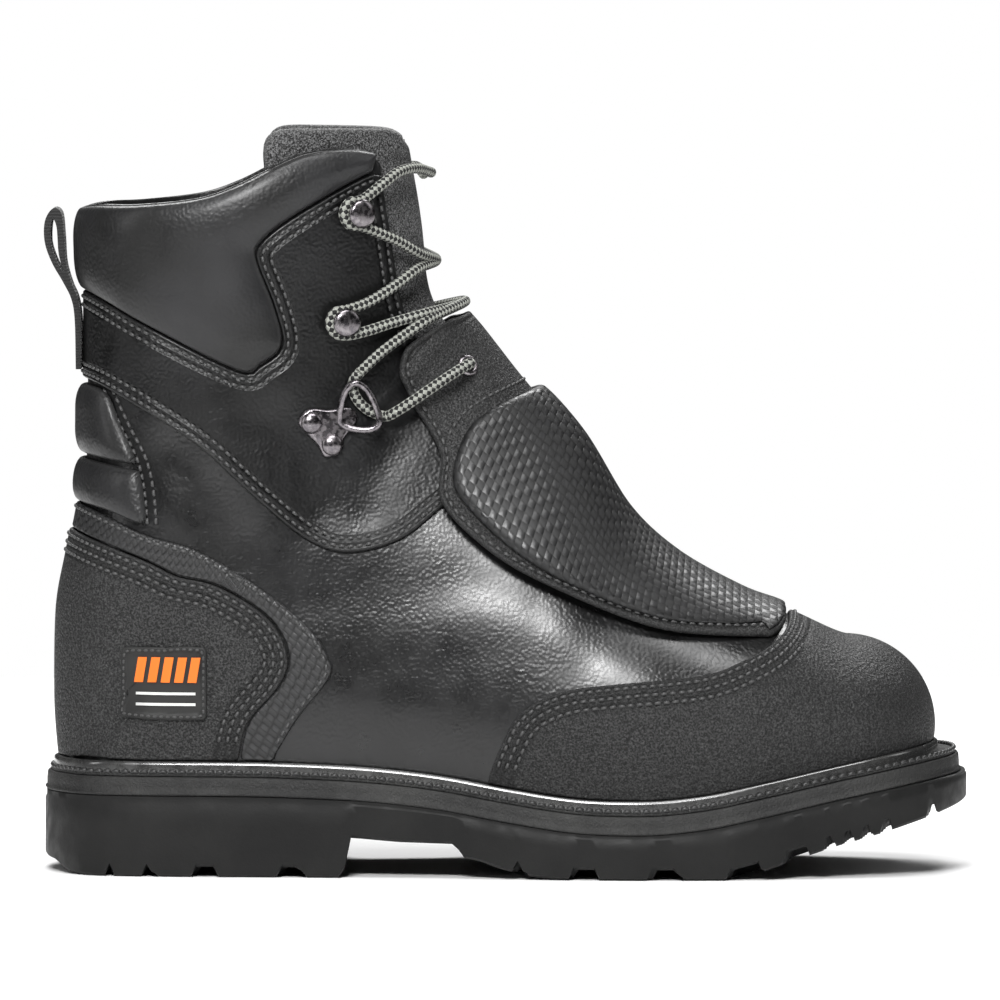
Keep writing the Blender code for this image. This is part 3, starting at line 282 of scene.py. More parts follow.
def smooth(xs, ys, x):
    """Cubic through the points that never overshoots them."""
    xs = np.asarray(xs, float)
    ys = np.asarray(ys, float)
    steps = np.diff(ys) / np.diff(xs)
    mean = (steps[:-1] + steps[1:]) / 2
    most = 3 * np.minimum(np.abs(steps[:-1]), np.abs(steps[1:]))
    inner = np.where(steps[:-1] * steps[1:] > 0, np.sign(mean) * np.minimum(np.abs(mean), most), 0)
    slopes = np.concatenate(([steps[0]], inner, [steps[-1]]))
    x = np.clip(x, xs[0], xs[-1])
    k = np.clip(np.searchsorted(xs, x, side="right") - 1, 0, len(xs) - 2)
    wide = xs[k + 1] - xs[k]
    u = (x - xs[k]) / wide
    return (ys[k] * (1 + 2 * u) * (1 - u) ** 2 + slopes[k] * wide * u * (1 - u) ** 2
            + ys[k + 1] * u * u * (3 - 2 * u) + slopes[k + 1] * wide * u * u * (u - 1))


def welt_top(x):
    return smooth(column(WELT_TOP, "x"), column(WELT_TOP, "z"), x)


def row_value(name, row):
    """A column of ROWS at any row. The toe is mirrored, so that the surface is smooth there."""
    values = column(ROWS, name)
    before = -values[1] if name in ("lateral", "medial") else values[1]
    return smooth(np.arange(-1, len(values)), np.concatenate(([before], values)), row)


def surface(row, side):
    """Points of the upper's outer face. side runs from -1, lateral foot or back, to 1, medial."""
    row = np.asarray(row, float)
    side = np.asarray(side, float)
    start = np.radians(np.maximum(row_value("start", row), 0))
    angle = start + (1 - np.abs(side)) * (math.pi - start)
    power = row_value("power", row)
    wide = np.clip(np.sin(angle), 0, 1) ** power
    width = np.where(side < 0, row_value("lateral", row), row_value("medial", row))
    climb = (np.cos(start) - np.cos(angle)) / (1 + np.cos(start))
    bulge = wide / np.maximum(np.sin(start), 1e-6) ** power
    lean = row_value("lean", row)
    along = lean * np.minimum(bulge, 2) + (1 - lean) * (1 - climb)
    foot_x = row_value("foot_x", row)
    foot_z = welt_top(foot_x) + FOOT_GAP + np.maximum(row_value("rise", row), 0)
    top_x = row_value("top_x", row)
    x = top_x + (foot_x - top_x) * along
    y = np.sign(side) * width * wide * (1 + row_value("egg", row) * np.cos(angle))
    z = foot_z + (row_value("top_z", row) - foot_z) * climb
    return np.stack(np.broadcast_arrays(x, y, z), axis=-1)


def normal(row, side):
    """Outward direction, level with the middle plane on the ridge, the toe and the back."""
    row, side = np.broadcast_arrays(np.asarray(row, float), np.asarray(side, float))
    step = 0.01
    fan_centre = (np.abs(side) < 0.03) & (row < 4)
    row = np.where(fan_centre, 4.0, row)
    side = np.where(fan_centre, 0.0, side)
    across = (surface(row, np.minimum(side + step, 1)) - surface(row, np.maximum(side - step, -1)))
    along = (surface(np.minimum(row + step, LAST_ROW), side)
             - surface(np.maximum(row - step, 0), side))
    out = np.cross(across, along)
    seam = (np.abs(side) < 1e-9) | (row < 1e-9) | ((np.abs(side) > 1 - 1e-9) & (row >= BACK_ROW))
    out[..., 1] = np.where(seam, 0, out[..., 1])
    foot = (np.abs(side) > 1 - 1e-9) & (row <= BACK_ROW)
    out[..., 2] = np.where(foot, 0, out[..., 2])
    return out / np.maximum(np.linalg.norm(out, axis=-1, keepdims=True), 1e-9)


def lifted(row, side, height):
    return surface(row, side) + normal(row, side) * np.asarray(height, float)[..., None]


def curve(points, steps=6):
    """A smooth open line through side view points."""
    points = np.asarray(points, float)
    ends = np.concatenate(([2 * points[0] - points[1]], points, [2 * points[-1] - points[-2]]))
    line = []
    for a, b, c, d in zip(ends, ends[1:], ends[2:], ends[3:]):
        for k in range(steps):
            u = k / steps
            line.append(b + 0.5 * u * (c - a + u * (2 * a - 5 * b + 4 * c - d
                                                    + u * (3 * (b - c) + d - a))))
    line.append(points[-1])
    return np.array(line)


def loop(points, steps=6):
    """A smooth closed line through points."""
    points = np.asarray(points, float)
    around = np.concatenate((points[-1:], points, points[:2]))
    return curve(around, steps)[steps:-steps - 1]


def welt_line(from_x, to_x, count=14):
    """The lower limit of the overlays, just above the bead."""
    x = np.linspace(from_x, to_x, count)
    return np.stack((x, welt_top(x) + OVERLAY_FOOT), axis=1)


def above_welt(line):
    """The part of a side view line that lies over the bead."""
    return line[line[:, 1] > welt_top(line[:, 0]) + OVERLAY_FOOT + 0.2]


def on_upper(x, z, height, lateral=True):
    return lifted(*locate(x, z, lateral), height)


def row_on_ridge(z):
    low, high = 9.0, LAST_ROW
    for _ in range(40):
        middle = (low + high) / 2
        if surface(middle, 0.0)[2] < z:
            low = middle
        else:
            high = middle
    return (low + high) / 2


def prism(name, outline, low, high):
    """A side view outline carried along Y."""
    count = len(outline)
    vertices = [(x, y, z) for y in (low, high) for x, z in outline]
    faces = [list(range(count)), [count + k for k in reversed(range(count))]]
    faces += [[k, k + count, (k + 1) % count + count, (k + 1) % count] for k in range(count)]
    return new_piece(name, vertices, faces)


def cut_out(piece, other):
    """Takes a closed piece out of another. The second one is used up."""
    change = piece.modifiers.new("shape", "BOOLEAN")
    change.object = other
    change.operation = "DIFFERENCE"
    for solver in ("EXACT", "MANIFOLD"):
        change.solver = solver
        bpy.context.view_layer.update()
        result = piece.evaluated_get(bpy.context.evaluated_depsgraph_get())
        mesh = bpy.data.meshes.new_from_object(result)
        if mesh.polygons:
            break
    piece.modifiers.clear()
    piece.data = mesh
    bpy.data.objects.remove(other)


def foot_outline(margin, steps=6):
    """Plan of the upper's foot line, moved out by a margin that may depend on x."""
    lateral = surface(np.linspace(0, BACK_ROW, int(BACK_ROW) * steps + 1), -1.0)[:, :2]
    medial = surface(np.linspace(BACK_ROW, 0, int(BACK_ROW) * steps + 1), 1.0)[1:-1, :2]
    line = np.concatenate((lateral, medial))
    along = np.roll(line, -1, axis=0) - np.roll(line, 1, axis=0)
    out = unit(np.stack((along[:, 1], -along[:, 0]), axis=1))
    if out[0, 0] < 0:
        out = -out
    wide = margin(line[:, 0]) if callable(margin) else np.full(len(line), margin)
    return line + out * wide[:, None]


def sole_margin(x):
    """The sole stands out further at the toe."""
    return smooth((-160, -60, 60, 110, 142, 150), (6.6, 6.8, 7.0, 8.6, 11.4, 11.4), x)


def outsole_margin(x):
    return sole_margin(x) + smooth((-160, 60, 142, 150), (0.5, 0.5, 2.4, 2.4), x)


def outsole_top(x):
    return welt_top(x) - WELT_THICK - MIDSOLE_THICK - 2 * GAP


def guard_height(rows, sides):
    """Height of the guard flap's inner face."""
    table_rows = column(GUARD, "row")
    flap = smooth(table_rows, column(GUARD, "flap"), rows)
    edge = smooth(table_rows, column(GUARD, "edge"), rows)
    return flap + edge * np.minimum(np.abs(sides) / GUARD_SIDE, 1) ** 2


def turned(name, centre, axis, profile, sides=28):
    """A closed profile of (radius, height) turned about an axis."""
    axis = unit(axis)
    first = unit(np.cross(axis, (0.3, 0.1, 1.0)))
    second = np.cross(axis, first)
    closed = profile[0][0] > 0
    vertices = []
    rings = []
    for radius, height in profile:
        at = centre + axis * height
        if radius == 0:
            rings.append([len(vertices)] * sides)
            vertices.append(at)
            continue
        rings.append([len(vertices) + k for k in range(sides)])
        for k in range(sides):
            turn = 2 * math.pi * k / sides
            vertices.append(at + radius * (first * math.cos(turn) + second * math.sin(turn)))
    pairs = list(zip(rings, rings[1:]))
    if closed:
        pairs.append((rings[-1], rings[0]))
    faces = []
    for a, b in pairs:
        for k in range(sides):
            j = (k + 1) % sides
            face = list(dict.fromkeys((a[k], a[j], b[j], b[k])))
            if len(face) > 2:
                faces.append(face)
    return new_piece(name, vertices, faces)


def tube(name, points, radius, closed=False, sides=TUBE_SIDES):
    """A round tube along points, with flat ends unless it is closed."""
    points = np.asarray(points, float)
    count = len(points)
    if closed:
        along = np.roll(points, -1, axis=0) - np.roll(points, 1, axis=0)
    else:
        along = np.gradient(points, axis=0)
    along = unit(along)
    first = np.cross(along[0], (0.2, 0.9, 0.3))
    vertices = []
    for at, forward in zip(points, along):
        first = unit(first - forward * (first @ forward))
        second = np.cross(forward, first)
        for k in range(sides):
            turn = 2 * math.pi * k / sides
            vertices.append(at + radius * (first * math.cos(turn) + second * math.sin(turn)))
    faces = []
    shift = 0
    if closed:
        start = np.array(vertices[:sides])
        end = points[0] + radius * unit(first - along[0] * (first @ along[0]))
        shift = int(np.argmin(np.linalg.norm(start - end, axis=1)))
    for i in range(count if closed else count - 1):
        for k in range(sides):
            a = i * sides + k
            b = i * sides + (k + 1) % sides
            if i == count - 1:
                c = (k + 1 + shift) % sides
                d = (k + shift) % sides
            else:
                c = b + sides
                d = a + sides
            faces.append([a, b, c, d])
    if not closed:
        faces.append(list(range(sides))[::-1])
        faces.append([(count - 1) * sides + k for k in range(sides)])
    return new_piece(name, vertices, faces)


def hook_turn(half, place):
    """Part of a route: around a hook's neck, in front, below, behind and above it."""
    turns = np.radians(np.linspace(-75, -285, 5))
    return [(half, place[0] + NECK_TURN * math.cos(a), place[1] + NECK_TURN * math.sin(a), 5.8)
            for a in turns]


def lace_route():
    """One lace end: lock, over to the other side's middle hook, back to the top hook."""
    near = -1
    far = 1
    route = [(near, -50.9, 168.8, 6.4), (near, -44.5, 174.8, 6.0), (near, -37.5, 180.2, 6.2),
             (near, -29.5, 185.4, 6.6), (0, -21.0, 188.2, 5.2), (far, -29.5, 187.6, 6.0),
             (far, -40.0, 185.2, 5.6), (far, -49.0, 182.8, 5.6)]
    route += hook_turn(far, MIDDLE_HOOK)
    route += [(far, -48.0, 192.6, 5.4), (far, -39.0, 198.0, 4.4), (far, -31.5, 203.0, 2.6),
              (0, -24.0, 205.5, 0.6), (near, -30.5, 208.0, 2.2), (near, -38.5, 212.4, 4.4),
              (near, -45.5, 215.8, 5.6)]
    route += hook_turn(near, TOP_HOOK)
    route += [(near, -44.8, 231.4, 5.4), (near, -39.0, 235.4, 4.2), (near, -32.0, 236.6, 1.8),
              (0, -28.6, 234.6, 0.4)]
    return route


def route_points(route, mirror=1):
    points = []
    for half, x, z, height in route:
        if half == 0:
            points.append(lifted(row_on_ridge(z), 0.0, height))
        else:
            points.append(on_upper(x, z, height, half * mirror < 0))
    return np.array(points)


GRID_ROWS, GRID_SIDES = np.meshgrid(np.linspace(0, LAST_ROW, 521), np.linspace(-1, 0, 201),
                                    indexing="ij")
GRID_POINTS = surface(GRID_ROWS, GRID_SIDES)


def locate(x, z, lateral=True):
    """Row and side of the point that shows at x, z from the side."""
    away = (GRID_POINTS[..., 0] - x) ** 2 + (GRID_POINTS[..., 2] - z) ** 2
    k = np.unravel_index(np.argmin(away), away.shape)
    row, side = GRID_ROWS[k], GRID_SIDES[k]
    step = 0.01
    for _ in range(4):
        here = surface(row, side)[[0, 2]]
        by_row = (surface(row + step, side)[[0, 2]] - here) / step
        by_side = (surface(row, side + step)[[0, 2]] - here) / step
        slope = np.stack((by_row, by_side), axis=1)
        if abs(np.linalg.det(slope)) < 1.0:
            break
        move = np.linalg.solve(slope, np.array((x, z)) - here)
        row = float(np.clip(row + np.clip(move[0], -0.1, 0.1), 0, LAST_ROW))
        side = float(np.clip(side + np.clip(move[1], -0.01, 0.01), -1, -0.001))
    return row, side if lateral else -side


def inside(x, z, outline):
    """True for side view points within a closed outline."""
    odd = np.zeros(np.shape(x), bool)
    for a, b in zip(outline, np.roll(outline, -1, axis=0)):
        if a[1] == b[1]:
            continue
        spans = (a[1] > z) != (b[1] > z)
        odd ^= spans & (x < a[0] + (z - a[1]) / (b[1] - a[1]) * (b[0] - a[0]))
    return odd


def relief(row, side, points):
    """Soft creases of the leather at the ankle and the flex of the vamp."""
    height = np.zeros(points.shape[:-1])
    for width, depth, line in CREASES[1:]:
        near = line_distance(points[..., 0], points[..., 2], curve(line))
        height -= depth * np.exp(-(near / width) ** 2)
        height += 0.45 * depth * np.exp(-((near - 1.9 * width) / width) ** 2)
    clear = np.clip((1 - np.abs(side)) / 0.08, 0, 1) * np.clip(np.abs(side) / 0.15, 0, 1)
    return height * clear


def raised(row, side, height):
    """Points at a height over the upper with its creases."""
    row, side = np.broadcast_arrays(np.asarray(row, float), np.asarray(side, float))
    points = surface(row, side)
    out = np.asarray(height, float) + relief(row, side, points)
    return points + normal(row, side) * out[..., None]


def rounded(away, radius):
    """Rises from 0 at an edge to 1 at a distance, as a quarter circle."""
    return np.sqrt(np.clip(1 - (1 - np.clip(away / radius, 0, 1)) ** 2, 0, 1))


def spaced_rows(first, last, spacing):
    """Rows so close that none is further from the next than the spacing."""
    rows = np.linspace(first, last, 400)
    steps = [np.linalg.norm(np.diff(surface(rows, side), axis=0), axis=1)
             for side in (-0.999, -0.85, -0.65, -0.4, 0.0)]
    along = np.concatenate(([0], np.cumsum(np.max(steps, axis=0))))
    count = int(along[-1] / spacing) + 2
    return np.interp(np.linspace(0, along[-1], count), along, rows)


def grid_area(first, last, reach, spacing):
    """Triangles over part of the upper. The points are (edge distance, row, side)."""
    half = int(150 * reach / spacing)
    sides = np.linspace(-reach, reach, 2 * half + 1)
    rows = spaced_rows(first, last, spacing)
    rows, sides = np.meshgrid(rows, sides, indexing="ij")
    order = np.arange(rows.size).reshape(rows.shape)
    four = np.array(quads(order))
    faces = np.concatenate((four[:, [0, 1, 2]], four[:, [0, 2, 3]]))
    return np.stack((np.zeros(rows.size), rows.ravel(), sides.ravel()), axis=1), faces


def split(points, faces, value):
    """Cuts the triangles along the line where the edge distance has a value."""
    points[np.abs(points[:, 0] - value) < 0.04, 0] = value
    sign = np.sign(points[:, 0] - value)
    crossing = (sign[faces].min(axis=1) < 0) & (sign[faces].max(axis=1) > 0)
    done = [tuple(face) for face in faces[~crossing]]
    added = []
    places = {}

    def cut(a, b):
        key = (min(a, b), max(a, b))
        if key not in places:
            first, second = points[key[0]], points[key[1]]
            share = (value - first[0]) / (second[0] - first[0])
            point = first + share * (second - first)
            point[0] = value
            places[key] = len(points) + len(added)
            added.append(point)
        return places[key]

    for face in faces[crossing].tolist():
        signs = [sign[k] for k in face]
        if 0 in signs:
            k = signs.index(0)
            a, b, c = face[k], face[k - 2], face[k - 1]
            middle = cut(b, c)
            done += [(a, b, middle), (a, middle, c)]
            continue
        k = next(k for k in range(3) if signs[k] != signs[k - 1] and signs[k] != signs[k - 2])
        a, b, c = face[k], face[k - 2], face[k - 1]
        ab, ac = cut(a, b), cut(a, c)
        done += [(a, ab, ac), (ab, b, c), (ab, c, ac)]
    if added:
        points = np.concatenate((points, added))
    return points, np.array(done)


def cut_area(outline, first, last, reach=1.0, spacing=1.5, levels=(0.0, 0.12, 0.4, 0.8), floor=0.0):
    """The part of the upper within a side view outline, cut fine along its edge."""
    points, faces = grid_area(first, last, reach, spacing)
    base = surface(points[:, 1], points[:, 2])
    away = line_distance(base[:, 0], base[:, 2], closed_line(outline))
    points[:, 0] = np.where(inside(base[:, 0], base[:, 2], outline), away, -away)
    faces = faces[points[faces, 0].max(axis=1) > floor - 2]
    for value in levels:
        points, faces = split(points, faces, value + floor)
    return points, faces[points[faces, 0].mean(axis=1) > floor]


def closed_line(outline):
    return np.concatenate((outline, outline[:1]))


def line_distance(x, z, line):
    """Distance of points in a plane from an open line."""
    best = np.full(np.shape(x), 1e9)
    for a, b in zip(line[:-1], line[1:]):
        span = b - a
        along = (x - a[0]) * span[0] + (z - a[1]) * span[1]
        share = np.clip(along / max(span @ span, 1e-12), 0, 1)
        best = np.minimum(best, np.hypot(x - a[0] - share * span[0], z - a[1] - share * span[1]))
    return best


def from_line(area, line):
    """The area with its distances measured from an open line only."""
    points = area[0].copy()
    base = surface(points[:, 1], points[:, 2])
    points[:, 0] = line_distance(base[:, 0], base[:, 2], line)
    return points, area[1]


def welded(area, half=0):
    """An area, or the half of it on one side, with points in the same place made one."""
    points, faces = area
    if half:
        faces = faces[points[faces, 2].mean(axis=1) * half > 0]
    base = surface(points[:, 1], points[:, 2])
    _, first, same = np.unique(np.round(base, 2) + 0.0, axis=0, return_index=True,
                               return_inverse=True)
    faces = same.reshape(-1)[faces]
    faces = faces[(faces[:, 0] != faces[:, 1]) & (faces[:, 1] != faces[:, 2])
                  & (faces[:, 2] != faces[:, 0])]
    used, faces = np.unique(faces, return_inverse=True)
    return points[first][used], faces.reshape(-1, 3)


def shell(name, area, low, high, half=0, seam_line=None):
    """A closed layer over an area. low and high give heights from (edge distance, row, side)."""
    points, faces = welded(area, half)
    away, rows, sides = points.T
    outer = raised(rows, sides, high(away, rows, sides))
    inner = raised(rows, sides, low(away, rows, sides))
    edges = np.concatenate((faces[:, :2], faces[:, 1:], faces[:, [2, 0]]))
    known = set(map(tuple, edges.tolist()))
    rim = [(a, b) for a, b in known if (b, a) not in known]
    count = len(points)
    closed = faces.tolist() + (faces[:, ::-1] + count).tolist()
    closed += [[b, a, a + count, b + count] for a, b in sorted(rim)]
    piece = new_piece(name, np.concatenate((outer, inner)), closed)
    note(piece, "edge", np.tile(np.clip(away, -5, 30), 2))
    if seam_line is not None:
        base = surface(rows, sides)
        away = line_distance(base[:, 0], base[:, 2], seam_line)
    note(piece, "seam", np.tile(np.clip(away, -5, 30), 2))
    return piece


def note(piece, name, values):
    """Stores one number or one vector for each vertex."""
    values = np.asarray(values, np.float32)
    kind, key = ("FLOAT", "value") if values.ndim == 1 else ("FLOAT_VECTOR", "vector")
    attribute = piece.data.attributes.new(name, kind, "POINT")
    attribute.data.foreach_set(key, values.ravel())


def quads(order):
    """The four-sided faces of a grid of point numbers."""
    corners = (order[:-1, :-1], order[:-1, 1:], order[1:, 1:], order[1:, :-1])
    return np.stack([corner.ravel() for corner in corners], axis=1).tolist()


def cleaned(mesh, weld=0.0):
    """Turns all faces outward, and makes points closer than weld metres one."""
    work = bmesh.new()
    work.from_mesh(mesh)
    if weld:
        bmesh.ops.remove_doubles(work, verts=work.verts[:], dist=weld)
    bmesh.ops.recalc_face_normals(work, faces=work.faces[:])
    work.to_mesh(mesh)
    work.free()


def new_piece(name, vertices, faces):
    mesh = bpy.data.meshes.new(name)
    points = (np.asarray(vertices, float) + (0, CENTRE_Y, 0)) * MM
    mesh.from_pydata(points.tolist(), [], [list(map(int, face)) for face in faces])
    cleaned(mesh)
    mesh.polygons.foreach_set("use_smooth", [True] * len(mesh.polygons))
    piece = bpy.data.objects.new(name, mesh)
    bpy.context.scene.collection.objects.link(piece)
    return piece


def joined(name, pieces):
    """One piece from several."""
    bpy.ops.object.select_all(action="DESELECT")
    for piece in pieces:
        piece.select_set(True)
    bpy.context.view_layer.objects.active = pieces[0]
    bpy.ops.object.join()
    pieces[0].name = name
    return pieces[0]


def dressed(piece, material, slot, *nodes):
    """Gives a piece its material and its place in the model."""
    piece.data.materials.clear()
    piece.data.materials.append(material)
    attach(piece, "root")
    if nodes:
        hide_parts(*nodes)
    return piece


def seam_lines(area, value):
    """Lines of (row, side) that run at a distance from the area's edge."""
    points, faces = split(area[0].copy(), area[1], value)
    on = points[:, 0] == value
    links = {}
    for face in faces[on[faces].sum(axis=1) >= 2].tolist():
        for a, b in zip(face, face[1:] + face[:1]):
            if on[a] and on[b]:
                links.setdefault(a, set()).add(b)
                links.setdefault(b, set()).add(a)
    lines = []
    while links:
        ends = [k for k in links if len(links[k]) == 1]
        here = min(ends) if ends else min(links)
        line = [here]
        while links.get(here):
            following = min(links[here])
            links[here].discard(following)
            links[following].discard(here)
            if not links[here]:
                del links[here]
            here = following
            line.append(here)
        links.pop(here, None)
        if len(line) > 4:
            lines.append(points[line][:, 1:])
    return lines


def unit(directions):
    return directions / np.linalg.norm(directions, axis=-1, keepdims=True)


def run_length(points):
    """Length of a line up to each of its points."""
    steps = np.linalg.norm(np.diff(points, axis=0), axis=1)
    return np.concatenate(([0], np.cumsum(steps)))


def even(line, spacing):
    """The line's points at even distances."""
    along = run_length(line)
    count = max(int(along[-1] / spacing), 2)
    at = np.linspace(0, along[-1], count + 1)
    return np.stack([np.interp(at, along, line[:, k]) for k in range(3)], axis=1)


def stitches(name, rows_of_points, share=0.72, radius=0.58):
    """Threads laid end to end along lines. Each line is (points, outward directions)."""
    profile = ((-0.5, 0.5, -0.5), (-0.38, 0.9, 0.1), (0.0, 1.0, 0.35), (0.38, 0.9, 0.1),
               (0.5, 0.5, -0.5))
    sides = 6
    vertices = []
    for line, out in rows_of_points:
        starts, ends = line[:-1], line[1:]
        lift = (out[:-1] + out[1:]) / 2
        along = ends - starts
        length = np.linalg.norm(along, axis=1, keepdims=True)
        along = along / length
        lift = unit(lift - along * (lift * along).sum(axis=1, keepdims=True))
        across = np.cross(along, lift)
        centre = (starts + ends) / 2
        for place, wide, up in profile:
            ring = centre + along * length * place * share + lift * up * radius
            for k in range(sides):
                turn = 2 * math.pi * k / sides
                vertices.append(ring + radius * wide * (across * math.cos(turn)
                                                        + lift * math.sin(turn)))
        vertices[-len(profile) * sides:] = [np.stack(vertices[-len(profile) * sides:], axis=1)]
    vertices = np.concatenate([block.reshape(-1, 3) for block in vertices])
    per = len(profile) * sides
    pattern = [[k * sides + j, k * sides + (j + 1) % sides, (k + 1) * sides + (j + 1) % sides,
                (k + 1) * sides + j] for k in range(len(profile) - 1) for j in range(sides)]
    pattern += [list(range(sides))[::-1], [per - sides + k for k in range(sides)]]
    faces = [[first + k for k in face] for first in range(0, len(vertices), per)
             for face in pattern]
    return new_piece(name, vertices, faces)


def on_layer(lines, height, pitch, keep=None):
    """Evenly spaced points over the upper, with outward directions, from (row, side) lines."""
    found = []
    for line in lines:
        line = np.asarray(line)
        points = raised(line[:, 0], line[:, 1], height(line[:, 0], line[:, 1]))
        out = normal(line[:, 0], line[:, 1])
        at = even(points, pitch)
        near = [int(np.argmin(((points - point) ** 2).sum(axis=1))) for point in at]
        good = np.ones(len(at), bool) if keep is None else keep(at)
        run = []
        for k in range(len(at) + 1):
            if k < len(at) and good[k]:
                run.append(k)
                continue
            if len(run) > 2:
                found.append((at[run], out[[near[i] for i in run]]))
            run = []
    return found


def side_line(points, lateral):
    """(row, side) line under side view points."""
    return np.array([locate(x, z, lateral) for x, z in curve(points)])


class Look:
    """A material and short ways to add nodes to it."""

    def __init__(self, name, colour, roughness, **sockets):
        self.material = bpy.data.materials.new(name)
        self.material.use_nodes = True
        self.tree = self.material.node_tree
        self.shader = self.tree.nodes["Principled BSDF"]
        self.shader.inputs["Base Color"].default_value = (*colour, 1.0)
        self.shader.inputs["Roughness"].default_value = roughness
        for key, value in sockets.items():
            self.shader.inputs[key.replace("_", " ")].default_value = value
        self.bump = None
        self.place = self.node("ShaderNodeTexCoord").outputs["Object"]

    def node(self, kind, **settings):
        made = self.tree.nodes.new(kind)
        for key, value in settings.items():
            setattr(made, key, value)
        return made

    def feed(self, socket, value):
        if isinstance(value, bpy.types.NodeSocket):
            self.tree.links.new(value, socket)
        else:
            socket.default_value = value

    def maths(self, operation, *values):
        made = self.node("ShaderNodeMath", operation=operation)
        for socket, value in zip(made.inputs, values):
            self.feed(socket, value)
        return made.outputs[0]

    def noise(self, size, detail=2.0, rough=0.5):
        """Noise whose features are about size millimetres across."""
        made = self.node("ShaderNodeTexNoise")
        self.feed(made.inputs["Vector"], self.place)
        made.inputs["Scale"].default_value = 1000.0 / size
        made.inputs["Detail"].default_value = detail
        made.inputs["Roughness"].default_value = rough
        return made.outputs["Fac"]

    def cells(self, size):
        made = self.node("ShaderNodeTexVoronoi", feature="F1")
        self.feed(made.inputs["Vector"], self.place)
        made.inputs["Scale"].default_value = 1000.0 / size
        return made.outputs["Distance"]

    def given(self, name, vector=False):
        made = self.node("ShaderNodeAttribute", attribute_name=name)
        return made.outputs["Vector" if vector else "Fac"]

    def ramp(self, value, low, high, from_low=0.0, from_high=1.0):
        made = self.node("ShaderNodeMapRange")
        self.feed(made.inputs["Value"], value)
        for key, number in (("From Min", from_low), ("From Max", from_high), ("To Min", low),
                            ("To Max", high)):
            made.inputs[key].default_value = number
        return made.outputs["Result"]

    def blend(self, share, first, second):
        made = self.node("ShaderNodeMix", data_type="RGBA")
        self.feed(made.inputs["Factor"], share)
        for place, value in (("A", first), ("B", second)):
            socket = next(s for s in made.inputs if s.name == place and s.type == "RGBA")
            if isinstance(value, bpy.types.NodeSocket):
                self.tree.links.new(value, socket)
            else:
                socket.default_value = (*value, 1.0)
        return next(s for s in made.outputs if s.type == "RGBA")

    def dent(self, height, depth, strength=1.0):
        """Adds a bump whose full height is depth millimetres."""
        made = self.node("ShaderNodeBump")
        made.inputs["Distance"].default_value = depth * MM
        made.inputs["Strength"].default_value = strength
        self.feed(made.inputs["Height"], height)
        if self.bump is not None:
            self.tree.links.new(self.bump, made.inputs["Normal"])
        self.bump = made.outputs["Normal"]
        self.tree.links.new(self.bump, self.shader.inputs["Normal"])

    def set(self, name, value):
        self.feed(self.shader.inputs[name], value)

    def grooves(self, distances, width=0.55):
        """Height that dips along the seams at these distances from the edge. It is also the mask of the
        painted shade in the stitch grooves.
        """
        total = None
        edge = self.given("seam")
        for distance in distances:
            away = self.maths("ABSOLUTE", self.maths("SUBTRACT", edge, distance))
            dip = self.ramp(away, 0.0, 1.0, 0.0, width * 2)
            total = dip if total is None else self.maths("MINIMUM", total, dip)
        return total


def smooth_leather(name, seams, tone, gloss, coat=0.18):
    look = Look(name, (tone, tone, tone * 1.05), gloss, Coat_Weight=coat, Coat_Roughness=0.24,
                Specular_IOR_Level=0.32)
    cloud = look.noise(38.0)
    shade = look.blend(look.ramp(cloud, 0.0, 1.0, 0.35, 0.7), (tone * 0.75,) * 3,
                       (tone * 1.5, tone * 1.5, tone * 1.6))
    worn = look.ramp(look.given("edge"), 0.55, 0.0, 0.3, 1.6)
    shade = look.blend(worn, shade, (tone * 2.6,) * 3)
    # Painted shade: the leather is darkened to near black in the stitch grooves along the seams.
    if seams:
        shade = look.blend(look.grooves(seams, 0.9), (0.0006,) * 3, shade)
    look.set("Base Color", shade)
    look.set("Roughness", look.ramp(look.noise(9.0, 3.0), gloss - 0.07, gloss + 0.10, 0.3, 0.7))
    look.dent(look.noise(1.15, 0.0), 0.26, 0.7)
    look.dent(look.noise(14.0), 0.10, 0.5)
    if seams:
        look.dent(look.grooves(seams), 0.45, 1.0)
    return look.material


def grained_leather(name, seams, tone, grain, depth):
    look = Look(name, (tone, tone, tone), 0.6, Specular_IOR_Level=0.45)
    pebbles = look.cells(grain)
    fine = look.noise(grain * 0.55, 3.0, 0.6)
    mixed = look.maths("ADD", look.maths("MULTIPLY", pebbles, 0.8), fine)
    dark = look.blend(look.ramp(fine, 0.0, 1.0, 0.44, 0.64), (tone * 0.15,) * 3,
                      (tone * 3.2, tone * 3.2, tone * 3.22))
    worn = look.ramp(look.given("edge"), 0.5, 0.0, 0.2, 1.5)
    shade = look.blend(worn, dark, (tone * 2.0,) * 3)
    # Painted shade: the grain is darkened in the stitch grooves along the seams.
    if seams:
        shade = look.blend(look.grooves(seams, 0.95), (tone * 0.05,) * 3, shade)
    look.set("Base Color", shade)
    look.set("Roughness", look.ramp(fine, 0.75, 0.36, 0.40, 0.66))
    look.dent(mixed, depth, 1.0)
    look.dent(look.noise(18.0), 0.3, 0.4)
    if seams:
        look.dent(look.grooves(seams, 0.7), 0.5, 0.8)
    return look.material


